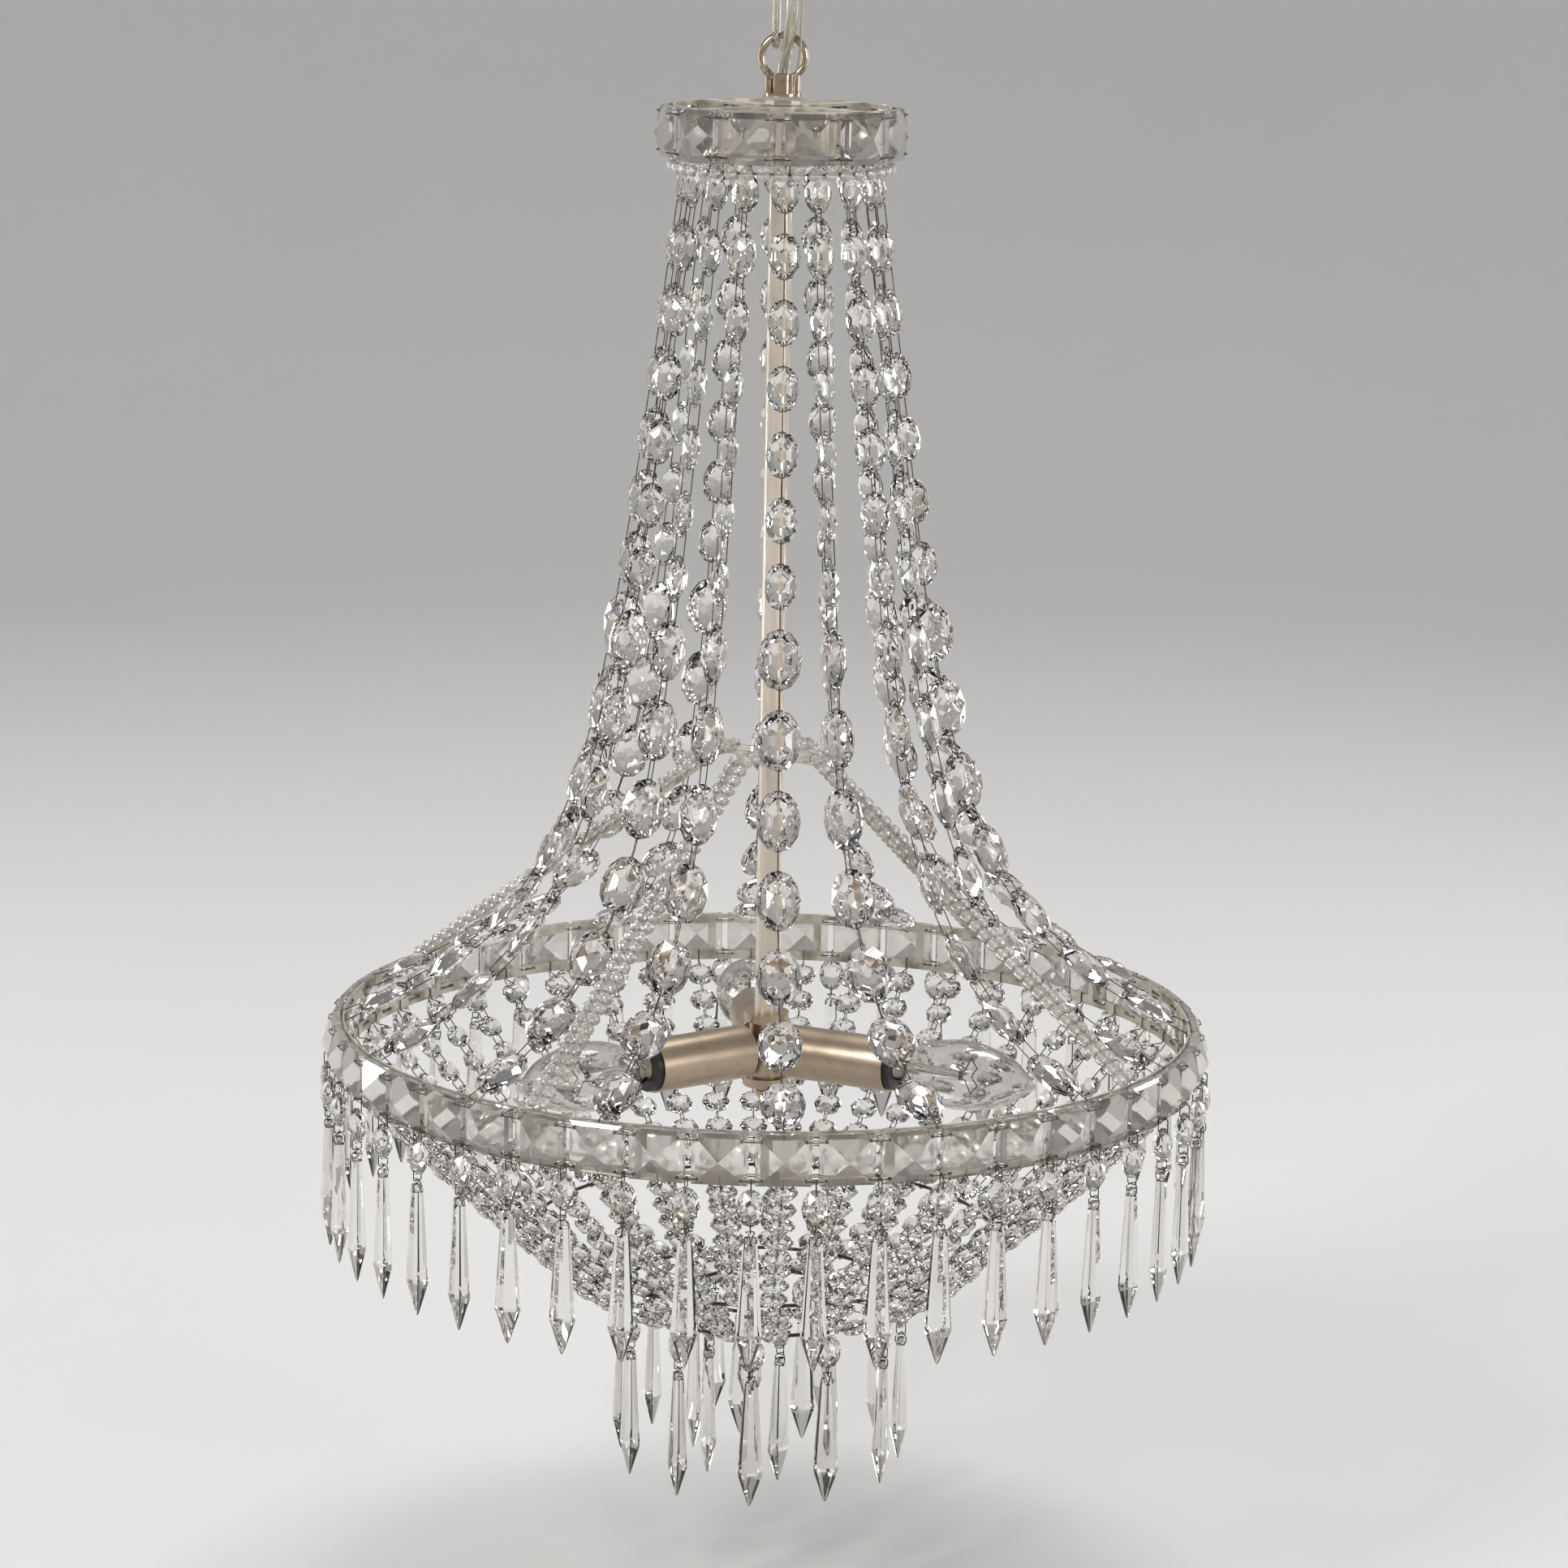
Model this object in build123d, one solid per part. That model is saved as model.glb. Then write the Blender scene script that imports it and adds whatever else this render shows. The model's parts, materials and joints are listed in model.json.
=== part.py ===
"""Crystal chandelier: a beaded tent of strands over a crystal-edged ring with three lamps.

Millimetres, +Z up.  The origin is the point inside the top of the hanging loop that bears on a hook.
Azimuth 0 is the front, -Y, and azimuths grow towards +X.
"""
import os
from math import acos, atan2, cos, degrees, exp, hypot, pi, radians, sin, tan
from random import Random

from build123d import *

# Hanging loop, washer and nut
LOOP_EYE_D = 15.6
LOOP_WIRE_D = 3.2
LOOP_LEG_D = 3.0
NOZZLE_D = 9.6
NOZZLE_HEIGHT = 8.0
NOZZLE_BORE_D = 7.0
NOZZLE_LEAD_D = 3.5
NOZZLE_STEP = 2.0
NOZZLE_FOOT = 1.2
WASHER_SIDE = 18.0
WASHER_THICK = 1.6
NUT_FLATS = 13.0
NUT_THICK = 2.2

# Stem
STEM_D = 10.6
STEM_WALL = 1.5

# Crown
CROWN_COUNT = 12
CROWN_BACK_R = 48.3
CROWN_FLANGE_WIDTH = 7.2
CROWN_FLANGE_THICK = 1.0
HUB_D = 24.0
HUB_THICK = 2.0
SPIDER_COUNT = 4
SPIDER_WIDTH = 7.0
SPIDER_THICK = 1.2
CROWN_BEAD_COUNT = 40
CROWN_BEAD_D = 6.4
CROWN_BEAD_BORE_D = 1.5
CROWN_BEAD_OUTSET = 6.4
BEAD_RING_WIRE_D = 0.8
BEAD_TIE_D = 0.6
BEAD_RING_TIES = 8
CROWN_SEAM_AZIMUTH = -1.5

# Ring
CROWN_TO_RING = 405.0
RING_COUNT = 46
RING_BACK_R = 190.9
RING_SEAM_AZIMUTH = -1.3
POST_WIDTH = 3.6
POST_EVERY = 2

# Bands and square crystals, the same on crown and ring
BAND_HEIGHT = 4.4
BAND_THICK = 0.8
BAND_TO_CRYSTAL = 0.9
SQUARE_HEIGHT = 21.9
SQUARE_EDGE = 2.8
SQUARE_PEAK = 5.6
SQUARE_BEVEL = 0.86
SQUARE_BEVEL_RISE = 1.0
SQUARE_GAP = 2.7
SQUARE_MARGIN = 0.4
TIE_INSET = 2.6

# Wire ties and links
WIRE_D = 0.5
WIRE_CLEARANCE = 0.15
WIRE_TOUCH = 0.05
CORNER_CUT = 0.6

# Cut of the ovals
GIRDLE = 1.3
MAIN_SCALE = 0.62
MAIN_RISE = 0.74
TABLE_SCALE = 0.27
LINK_WIDTH = 4.3
DRILL_D = 1.8

# Hanging strands
ARM_AZIMUTHS = (-30.0, 55.0, 148.0, 240.0)
STRAND_TOP_R = 40.2
STRAND_SLOPE = 0.134
STRAND_FLARE_LENGTH = 43.0
STRAND_FLARE_SPREAD = 2.5
STRAND_TURN_STEP = 8.0
STRAND_VARIANTS = 4
TOP_LINK = 5.2
SMALL_COUNT = 7
SMALL_OVAL = (20.5, 14.0, 8.0)
TOP_OVAL_SCALE = 0.9
LARGE_OVAL = (27.0, 19.5, 9.2)
HOLE_INSET = 2.3
LINK_GOAL = 11.0
RING_LINK = 9.0
STRANDS_PER_QUARTER = 4

# Arms
ARM_COLLAR_DROP = 287.0
ARM_COLLAR_HEIGHT = 6.0
ARM_COLLAR_WALL = 2.4
ARM_SHOULDER_R = 25.0
ARM_BEND_R = 12.0
ARM_CORE_D = 2.4
ARM_BEAD_D = 5.5
ARM_BEAD_BORE_D = 1.3
ARM_BEAD_GAP = 0.35

# Lamp cluster
LAMP_DROP = 421.0
LAMP_AZIMUTHS = (-55.0, 65.0, 185.0)
CLUSTER_D = 15.0
CLUSTER_HEIGHT = 34.0
CLUSTER_FLANGE_D = 20.0
CLUSTER_FLANGE = 4.0
NIPPLE_D = 10.0
NIPPLE_BORE_D = 6.0
SOCKET_D = 24.0
SOCKET_LENGTH = 50.0
SOCKET_WALL = 0.8
SOCKET_START_R = 12.0
NIPPLE_REACH = 1.5
INSERT_CLEARANCE = 0.15
INSERT_PROUD = 3.0
INSERT_DEPTH = 34.0
BASE_D = 11.9
BASE_CLEARANCE = 0.35
BASE_LENGTH = 20.0
BULB_D = 31.0
BULB_NECK_D = 12.4
BULB_LENGTH = 66.0
BULB_PROFILE = ((0.09, 0.55), (0.24, 0.84), (0.45, 1.0), (0.67, 0.88), (0.85, 0.55), (0.95, 0.24))
GLASS_WALL = 0.8
BULB_STEM_D = 5.0
BULB_STEM_LENGTH = 30.0
FILAMENT_D = 0.6
FILAMENT_SPAN = 16.0
FINIAL_D = 9.0
FINIAL_HEIGHT = 8.0

# Drop beads and prisms
DROP_BEAD = (16.0, 12.0, 8.0)
EYE_LINK = 4.9
HOOK_DROP = 5.0
HOOK_TOP_WIDTH = 4.0
HOOK_OPEN = (0.35, 0.72)
PRISM = (58.0, 12.0, 7.6)
PRISM_NECK_D = 6.4
PRISM_TIP = 15.0
PRISM_FACES = 8
PRISM_HOLE_INSET = 2.6

# Basket
MID_HOOP_R = 106.0
MID_HOOP_DROP = 80.0
LOWER_HOOP_R = 64.0
LOWER_HOOP_DROP = 108.0
INNER_HOOP_R = 32.0
HOOP_D = 1.6
UPPER_BELLY = 2.0
LOWER_BELLY = 4.0
BAND_LINK = 7.0
BAND_LINK_WIDTH = 6.0
HOOP_LINK = 3.4
BASKET_LINK_GOAL = 6.6
LOWER_COUNT = 12
LOWER_FIRST_GAP = -1
BASKET_BEAD_LENGTH = 11.5
BASKET_BEAD_THICK = 7.0
BASKET_BEAD_GAP = 1.0
BASKET_HOLE_INSET = 2.0

# Cords
CORD_D = 5.0
SUPPORT_CORD_D = 3.4
GROUND_WIRE_D = 1.0
CEILING_Z = 27.0
CEILING_FITTING_D = 44.0
CEILING_FITTING_HEIGHT = 14.0
CEILING_FITTING_WALL = 1.2
CEILING_FITTING_FLOOR = 1.6
CEILING_FITTING_FILLET = 2.0
CEILING_SCREW_D = 4.5
CEILING_SCREW_SPACING = 28.0
TRIM_GAP = 0.3

# Levels
EYE_Z = -LOOP_EYE_D / 2
NOZZLE_TOP = EYE_Z - LOOP_EYE_D / 2 + 0.5
WASHER_TOP = NOZZLE_TOP - NOZZLE_HEIGHT - NOZZLE_FOOT
NUT_TOP = WASHER_TOP - WASHER_THICK
HUB_TOP = NUT_TOP - NUT_THICK
CROWN_TOP = HUB_TOP - TRIM_GAP
FRAME_HEIGHT = SQUARE_HEIGHT + 2 * SQUARE_MARGIN
CROWN_BOTTOM = CROWN_TOP - FRAME_HEIGHT
RING_TOP = CROWN_TOP - CROWN_TO_RING
RING_BOTTOM = RING_TOP - FRAME_HEIGHT
LAMP_Z = CROWN_TOP - LAMP_DROP
ARM_Z = CROWN_TOP - ARM_COLLAR_DROP
CROWN_BAND_R = CROWN_BACK_R - BAND_TO_CRYSTAL
RING_BAND_R = RING_BACK_R - BAND_TO_CRYSTAL
INSERT_START = SOCKET_START_R + SOCKET_WALL + NIPPLE_REACH
SOCKET_MOUTH = SOCKET_START_R + SOCKET_LENGTH + INSERT_PROUD
WRAP = WIRE_D / 2 + WIRE_CLEARANCE

RING_PITCH = 360.0 / RING_COUNT
BASKET_AZIMUTHS = [RING_SEAM_AZIMUTH + RING_PITCH * (k + 0.5) for k in range(RING_COUNT)]
LOWER_STRAND_AZIMUTHS = [azimuth + RING_PITCH / 4 for azimuth in BASKET_AZIMUTHS[::2]]
LOWER_STEP = 360.0 / len(LOWER_STRAND_AZIMUTHS)
LOWER_GAPS = [
    round(k * len(LOWER_STRAND_AZIMUTHS) / LOWER_COUNT) + LOWER_FIRST_GAP for k in range(LOWER_COUNT)
]
LOWER_AZIMUTHS = [LOWER_STRAND_AZIMUTHS[0] + LOWER_STEP * (gap + 0.5) for gap in LOWER_GAPS]
INNER_STRAND_AZIMUTHS = [azimuth + LOWER_STEP / 4 for azimuth in LOWER_AZIMUTHS]
INNER_AZIMUTHS = [(a + b) / 2 for a, b in zip(INNER_STRAND_AZIMUTHS[::2], INNER_STRAND_AZIMUTHS[1::2])]
MID_HOOP = (MID_HOOP_R, RING_BOTTOM - MID_HOOP_DROP)
LOWER_HOOP = (LOWER_HOOP_R, RING_BOTTOM - LOWER_HOOP_DROP)
INNER_HOOP = (INNER_HOOP_R, RING_BOTTOM - LOWER_HOOP_DROP)
BASKET_BEAD_WIDTH = 2 * MID_HOOP_R * sin(pi / RING_COUNT) - BASKET_BEAD_GAP
BASKET_BEAD = (BASKET_BEAD_LENGTH, BASKET_BEAD_WIDTH, BASKET_BEAD_THICK)

random = Random(7)


def radial(azimuth, radius, z, lean=0.0):
    """Frame with X outward, Y along the circle and Z up, leaning outward by lean degrees."""
    return Rot(0, 0, azimuth - 90) * Pos(radius, 0, z) * Rot(0, lean, 0)


def polyhedron(points, faces):
    """Solid with flat faces, given as lists of indices into points."""
    sides = [Face(Wire.make_polygon([Vector(*points[i]) for i in face], close=True)) for face in faces]
    return Solid(Shell(sides))


def save(node, solids):
    """Write one node's solids."""
    export_step(Compound(children=[copy_of(s) for s in solids]), f"parts/{node}.step")


def copy_of(solid):
    """A solid without a parent, ready to go into a node."""
    solid.parent = None
    return solid


def ring_of(count, first=0.0):
    """Azimuths of count pieces spaced evenly round a circle."""
    return [first + 360.0 * k / count for k in range(count)]


def bar(x, y, z, depth, width, height):
    """Box with its centre at x, y, z."""
    return Pos(x, y, z) * Box(depth, width, height)


def tube(outer, inner, length):
    """Upright tube standing on z = 0."""
    body = Cylinder(outer, length, align=(Align.CENTER, Align.CENTER, Align.MIN))
    return body - Cylinder(inner, length, align=(Align.CENTER, Align.CENTER, Align.MIN))


# Crystals -------------------------------------------------------------------------------------------


def rings_solid(rings):
    """Closed solid through rings of equally many points, capped at both ends."""
    count = len(rings[0])
    points = [p for ring in rings for p in ring]
    faces = [list(range(count))[::-1]]
    for level in range(len(rings) - 1):
        low, high = level * count, (level + 1) * count
        for k in range(count):
            j = (k + 1) % count
            faces.append([low + k, low + j, high + j, high + k])
    last = (len(rings) - 1) * count
    faces.append(list(range(last, last + count)))
    return polyhedron(points, faces)


def drill(length, sides=0):
    """Upright drill of the crystals, round or with flat sides, centred on the origin."""
    if sides:
        return extrude(RegularPolygon(DRILL_D / 2, sides), length / 2, both=True)
    return Cylinder(DRILL_D / 2, length)


def oval_crystal(length, width, thick, mains=6, inset=HOLE_INSET, bore_sides=0):
    """Brilliant-cut oval: a girdle, main facets and a table on each face, drilled near both ends.

    Thickness lies along X, width along Y and length along Z. The holes are round where bore_sides is 0.
    """
    half, edge = thick / 2, GIRDLE / 2
    sides = 2 * mains

    def ellipse(count, scale, x, shift=0.5):
        angles = [2 * pi * (k + shift) / count for k in range(count)]
        return [(x, scale * width / 2 * cos(a), scale * length / 2 * sin(a)) for a in angles]

    points, faces = [], []
    for side in (-1, 1):
        points += ellipse(sides, 1.0, side * edge, 0.0)
        points += ellipse(mains, MAIN_SCALE, side * (edge + MAIN_RISE * (half - edge)))
        points += ellipse(mains, TABLE_SCALE, side * half)
    for base in (0, 4 * mains):
        main, table = base + sides, base + sides + mains
        found = [[table + k for k in range(mains)]]
        for k in range(mains):
            j = (k + 1) % mains
            left, tip, right = base + 2 * k, base + 2 * k + 1, base + (2 * k + 2) % sides
            found += [[left, tip, main + k], [tip, right, main + k], [right, main + j, main + k]]
            found.append([main + k, main + j, table + j, table + k])
        faces += found if base else [face[::-1] for face in found]
    for k in range(sides):
        j = (k + 1) % sides
        faces.append([k, j, 4 * mains + j, 4 * mains + k])
    body = polyhedron(points, faces)
    hole = Rot(0, 90, 0) * drill(thick, bore_sides)
    return body.cut(*[Pos(0, 0, end * (length / 2 - inset)) * hole for end in (-1, 1)])


def square_crystal(width):
    """Square plate with a shallow pyramid on its outer face and four drilled corners.

    The back lies on X = 0, width along Y, height along Z.
    """
    outlines = (1.0, 1.0, SQUARE_BEVEL)
    levels = (0.0, SQUARE_EDGE, SQUARE_EDGE + SQUARE_BEVEL_RISE)
    corners = ((-1, -1), (1, -1), (1, 1), (-1, 1))
    points = [
        (x, scale * y * width / 2, scale * z * SQUARE_HEIGHT / 2)
        for x, scale in zip(levels, outlines)
        for y, z in corners
    ]
    points.append((SQUARE_EDGE + SQUARE_PEAK, 0.0, 0.0))
    faces = [[3, 2, 1, 0]]
    for k in range(4):
        j = (k + 1) % 4
        faces += [[k, j, 4 + j, 4 + k], [4 + k, 4 + j, 8 + j, 8 + k], [8 + k, 8 + j, 12]]
    body = polyhedron(points, faces)
    reach = SQUARE_EDGE + SQUARE_PEAK
    for y, z in corners:
        at = Pos(reach / 2, y * (width / 2 - TIE_INSET), z * (SQUARE_HEIGHT / 2 - TIE_INSET))
        body -= at * Rot(0, 90, 0) * Cylinder(DRILL_D / 2, reach)
    return body


def prism_crystal():
    """Spear prism hanging down from its drilled neck; the hole is at the origin, along X."""
    length, width, _ = PRISM
    top = PRISM_HOLE_INSET
    tip = top - length
    heights = (tip, tip + 1.2, tip + PRISM_TIP, tip + PRISM_TIP + 3, top - 1, top)
    widths = (0.8, 2.0, width, width * 0.96, PRISM_NECK_D, PRISM_NECK_D * 0.8)
    flat = PRISM[2] / width
    rings = []
    for z, across in zip(heights, widths):
        angles = [2 * pi * (k + 0.5) / PRISM_FACES for k in range(PRISM_FACES)]
        rings.append([(flat * across / 2 * cos(a), across / 2 * sin(a), z) for a in angles])
    body = rings_solid(rings)
    return body - Rot(0, 90, 0) * Cylinder(DRILL_D / 2, width)


def round_bead(diameter, bore):
    """Round bead bored along Z."""
    return Sphere(diameter / 2) - Cylinder(bore / 2, diameter)


def faceted_bead(diameter, bore, sides=16, bands=8):
    """Round bead of many small flat facets, bored along Z."""
    mouth = acos(bore / diameter)
    points, faces = [], []
    for level in range(bands + 1):
        rise = mouth * (2 * level / bands - 1)
        reach, z = diameter / 2 * cos(rise), diameter / 2 * sin(rise)
        turns = [2 * pi * k / sides for k in range(sides)]
        points += [(reach * cos(turn), reach * sin(turn), z) for turn in turns]
        low, high = level * sides, (level + 1) % (bands + 1) * sides
        for k in range(sides):
            j = (k + 1) % sides
            faces.append([low + k, low + j, high + j, high + k])
    return polyhedron(points, faces)


# Bent wire ------------------------------------------------------------------------------------------


def bent_wire(route, wire, sides, closed):
    """Faceted wire along a route of bends, mitred at each one."""
    stops = [Vector(*p) for p in route]
    runs = [(b - a).normalized() for a, b in zip(stops, stops[1:] + stops[:1])]
    across = runs[0].cross(Vector(0, 0, 1) if abs(runs[0].Z) < 0.9 else Vector(1, 0, 0)).normalized()
    over = runs[0].cross(across)
    angles = [2 * pi * (k + 0.5) / sides for k in range(sides)]
    middle = (stops[0] + stops[1]) * 0.5
    section = [middle + (across * cos(a) + over * sin(a)) * (wire / 2) for a in angles]
    rings = []
    bends = len(stops) if closed else len(stops) - 2
    for k in range(1, bends + 1):
        before, after, stop = runs[k - 1], runs[k % len(runs)], stops[k % len(stops)]
        mitre = before + after
        section = [p + before * ((stop - p).dot(mitre) / before.dot(mitre)) for p in section]
        rings.append(section)
    if not closed:
        first = [p + runs[0] * (stops[0] - p).dot(runs[0]) for p in rings[0]]
        last = [p + runs[-2] * (stops[-1] - p).dot(runs[-2]) for p in rings[-1]]
        rings = [first] + rings + [last]
    points = [tuple(p) for ring in rings for p in ring]
    faces = []
    for level in range(len(rings) if closed else len(rings) - 1):
        low, high = level * sides, (level + 1) % len(rings) * sides
        for k in range(sides):
            j = (k + 1) % sides
            faces.append([low + k, low + j, high + j, high + k])
    if not closed:
        faces += [list(range(sides))[::-1], list(range(len(points) - sides, len(points)))]
    solid = polyhedron(points, faces)
    return solid if solid.volume > 0 else polyhedron(points, [face[::-1] for face in faces])


def eased(corners, closed=True):
    """Route through corners in space, each turned into two gentler bends."""
    route = []
    count = len(corners)
    for k, corner in enumerate(corners):
        if not closed and k in (0, count - 1):
            route.append(corner)
            continue
        here = Vector(*corner)
        for other in (corners[k - 1], corners[(k + 1) % count]):
            run = Vector(*other) - here
            cut = min(CORNER_CUT, 0.3 * run.length)
            route.append(tuple(here + run.normalized() * cut))
    return route


def wire_loop(corners, sides=6):
    """Closed link of wire, flat in the XZ plane."""
    return bent_wire(eased([(x, 0.0, z) for x, z in corners]), WIRE_D, sides, True)


def link_loop(span, sides=6):
    """Link whose two cross wires are span apart, the upper one on the origin."""
    half = LINK_WIDTH / 2
    return wire_loop([(-half, 0), (half, 0), (half, -span), (-half, -span)], sides)


# Frames ---------------------------------------------------------------------------------------------


def slotted_band(radius, count, z_mid, slot_z, first):
    """Flat band standing on edge, with a slot behind each seam for the wire staples."""
    band = Pos(0, 0, z_mid - BAND_HEIGHT / 2) * tube(radius, radius - BAND_THICK, BAND_HEIGHT)
    slot = Box(4 * BAND_THICK, SQUARE_GAP + 2 * TIE_INSET + DRILL_D, DRILL_D)
    cuts = [radial(a, radius - BAND_THICK / 2, slot_z) * slot for a in ring_of(count, first)]
    return band.cut(*cuts)


def band_levels(top, bottom):
    """Middle of the upper and lower band, and the height of the ties behind each."""
    tie = SQUARE_MARGIN + TIE_INSET
    return (top - BAND_HEIGHT / 2, top - tie), (bottom + BAND_HEIGHT / 2, bottom + tie)


def square_width(back_r, count):
    """Width of a square crystal that leaves the seam gap between neighbours."""
    return 2 * back_r * tan(pi / count) - SQUARE_GAP


def square_crystals(back_r, count, top, first):
    """Square crystals round a frame, their seams at first and every pitch from there."""
    crystal = square_crystal(square_width(back_r, count))
    middle = top - FRAME_HEIGHT / 2
    return [radial(a, back_r, middle) * crystal for a in ring_of(count, first + 180.0 / count)]


def tie_line(back_r, count):
    """Line of a corner hole beside a seam: its foot on the crystal's back, its angle, and its mouth."""
    half_turn = pi / count
    along = SQUARE_GAP / 2 + TIE_INSET
    foot_x, foot_y = back_r / cos(half_turn) - along * sin(half_turn), along * cos(half_turn)
    half, rim = SQUARE_HEIGHT / 2, (1 - SQUARE_BEVEL) * SQUARE_HEIGHT / 2
    slope = (SQUARE_PEAK - SQUARE_BEVEL_RISE) / (half - rim)
    face = SQUARE_EDGE + SQUARE_BEVEL_RISE + slope * (TIE_INSET + DRILL_D / 2 - rim)
    return foot_x, foot_y, half_turn, face + WRAP


def staples(back_r, count, top, bottom, first):
    """Wire ties across each seam, through the crystals' corners and the slot in the band."""
    foot_x, foot_y, turn, front = tie_line(back_r, count)
    back = back_r - BAND_TO_CRYSTAL - BAND_THICK - WRAP
    inside = foot_y - (foot_x - back) * tan(turn)
    front_x, front_y = foot_x + front * cos(turn), foot_y + front * sin(turn)
    corners = [(back, -inside, 0.0), (back, inside, 0.0), (front_x, front_y, 0.0), (front_x, -front_y, 0.0)]
    flat = bent_wire(eased(corners), WIRE_D, 6, True)
    found = []
    for _, tie_z in band_levels(top, bottom):
        found += [radial(a, 0, tie_z) * flat for a in ring_of(count, first)]
    return found


def crown_frame():
    """Hub, spider arms, two slotted bands and the flange that the strands hang from."""
    (upper, upper_tie), (lower, lower_tie) = band_levels(CROWN_TOP, CROWN_BOTTOM)
    inner = CROWN_BAND_R - BAND_THICK / 2
    frame = slotted_band(CROWN_BAND_R, CROWN_COUNT, upper, upper_tie, CROWN_SEAM_AZIMUTH)
    hub = Pos(0, 0, CROWN_TOP - HUB_THICK) * tube(HUB_D / 2, STEM_D / 2 - STEM_WALL, HUB_THICK)
    arms = [
        Rot(0, 0, a) * bar((inner + HUB_D / 3) / 2, 0, CROWN_TOP - SPIDER_THICK / 2, inner - HUB_D / 3,
                           SPIDER_WIDTH, SPIDER_THICK)
        for a in ring_of(SPIDER_COUNT, 45.0)
    ]
    flange_in = CROWN_BAND_R - BAND_THICK - CROWN_FLANGE_WIDTH
    flange_z = CROWN_BOTTOM + CROWN_FLANGE_THICK
    flange = Pos(0, 0, CROWN_BOTTOM) * tube(inner, flange_in, CROWN_FLANGE_THICK)
    hole_r = STRAND_TOP_R + LINK_WIDTH / 2
    drill = Cylinder(DRILL_D / 2, 4 * CROWN_FLANGE_THICK)
    holes = [radial(a, hole_r, flange_z) * drill for a in strand_azimuths()]
    flange = flange.cut(*holes)
    lower_band = slotted_band(CROWN_BAND_R, CROWN_COUNT, lower, lower_tie, CROWN_SEAM_AZIMUTH)
    posts = [
        radial(a, CROWN_BAND_R - BAND_THICK / 2, (upper + lower) / 2)
        * Box(BAND_THICK, POST_WIDTH, upper - lower - BAND_HEIGHT + BAND_THICK)
        for a in ring_of(CROWN_COUNT // POST_EVERY, CROWN_SEAM_AZIMUTH + 90.0 / CROWN_COUNT)
    ]
    return frame.fuse(hub, *arms, flange, lower_band, *posts)


def ring_frame():
    """Two slotted bands joined by upright posts behind every second crystal."""
    (upper, upper_tie), (lower, lower_tie) = band_levels(RING_TOP, RING_BOTTOM)
    top = slotted_band(RING_BAND_R, RING_COUNT, upper, upper_tie, RING_SEAM_AZIMUTH)
    bottom = slotted_band(RING_BAND_R, RING_COUNT, lower, lower_tie, RING_SEAM_AZIMUTH)
    posts = [
        radial(a, RING_BAND_R - BAND_THICK / 2, (upper + lower) / 2)
        * Box(BAND_THICK, POST_WIDTH, upper - lower - BAND_HEIGHT + BAND_THICK)
        for a in ring_of(RING_COUNT // POST_EVERY, RING_SEAM_AZIMUTH + 90.0 / RING_COUNT)
    ]
    return top.fuse(bottom, *posts)


# Strands --------------------------------------------------------------------------------------------


def step_along(curve, start, length):
    """Parameter past start at which the curve is one straight length away."""
    from_r, from_z = curve(start)
    low, high = start, start + 1.0
    for _ in range(26):
        middle = (low + high) / 2
        r, z = curve(middle)
        if hypot(r - from_r, z - from_z) < length:
            low = middle
        else:
            high = middle
    return (low + high) / 2


def hang(curve, first, spans, last):
    """Places of the holes of a row of crystals along a curve, as pairs of points.

    The first hole is first away from the curve's start, the last one last away from its end, and the
    links between the crystals are all as long as that takes.
    """
    def holes(link):
        at = step_along(curve, 0.0, first)
        found = []
        for span in spans:
            after = step_along(curve, at, span)
            found.append((at, after))
            at = step_along(curve, after, link)
        return found

    short, long = 0.0, 3 * max(spans)
    for _ in range(26):
        link = (short + long) / 2
        end = step_along(curve, holes(link)[-1][1], last)
        if end < 1.0:
            short = link
        else:
            long = link
    return [(curve(a), curve(b)) for a, b in holes(link)]


def length_of(curve, steps=200):
    """Length of a curve from its start to its end."""
    points = [curve(k / steps) for k in range(steps + 1)]
    return sum(hypot(b[0] - a[0], b[1] - a[1]) for a, b in zip(points, points[1:]))


def drape(flare):
    """Curve of a hanging strand from the crown's flange to the ring's upper band."""
    top_z = CROWN_BOTTOM + CROWN_FLANGE_THICK / 2
    end_r, end_z = RING_BAND_R - BAND_THICK / 2, RING_TOP - BAND_HEIGHT / 2
    height = top_z - end_z
    reach = end_r - STRAND_TOP_R - STRAND_SLOPE * height

    def curve(t):
        fallen = t * height
        spread = reach * (exp((fallen - height) / flare) - exp(-height / flare))
        return STRAND_TOP_R + STRAND_SLOPE * fallen + spread / (1 - exp(-height / flare)), top_z - fallen

    return curve


def sagging(start, end, belly):
    """Curve from start to end in a radial plane, bellied outwards and down."""
    (ra, za), (rb, zb) = start, end
    length = hypot(rb - ra, zb - za)
    out_r, out_z = (za - zb) / length, (rb - ra) / length

    def curve(t):
        bulge = 4 * belly * t * (1 - t)
        return ra + (rb - ra) * t + out_r * bulge, za + (zb - za) * t + out_z * bulge

    return curve


def lean_of(top, bottom):
    """Degrees by which the upward line from bottom to top leans outwards."""
    return degrees(atan2(top[0] - bottom[0], top[1] - bottom[1]))


def across(point, lean, width=LINK_WIDTH):
    """The two sides of a link at a hole: the inner one and the outer one."""
    dr, dz = width / 2 * cos(radians(lean)), -width / 2 * sin(radians(lean))
    return (point[0] - dr, point[1] - dz), (point[0] + dr, point[1] + dz)


def plane_link(upper, upper_lean, lower, lower_lean, sides=6):
    """Link between two holes in one radial plane, square to both crystals."""
    upper_in, upper_out = across(upper, upper_lean)
    lower_in, lower_out = across(lower, lower_lean)
    return wire_loop([upper_in, upper_out, lower_out, lower_in], sides)


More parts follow.
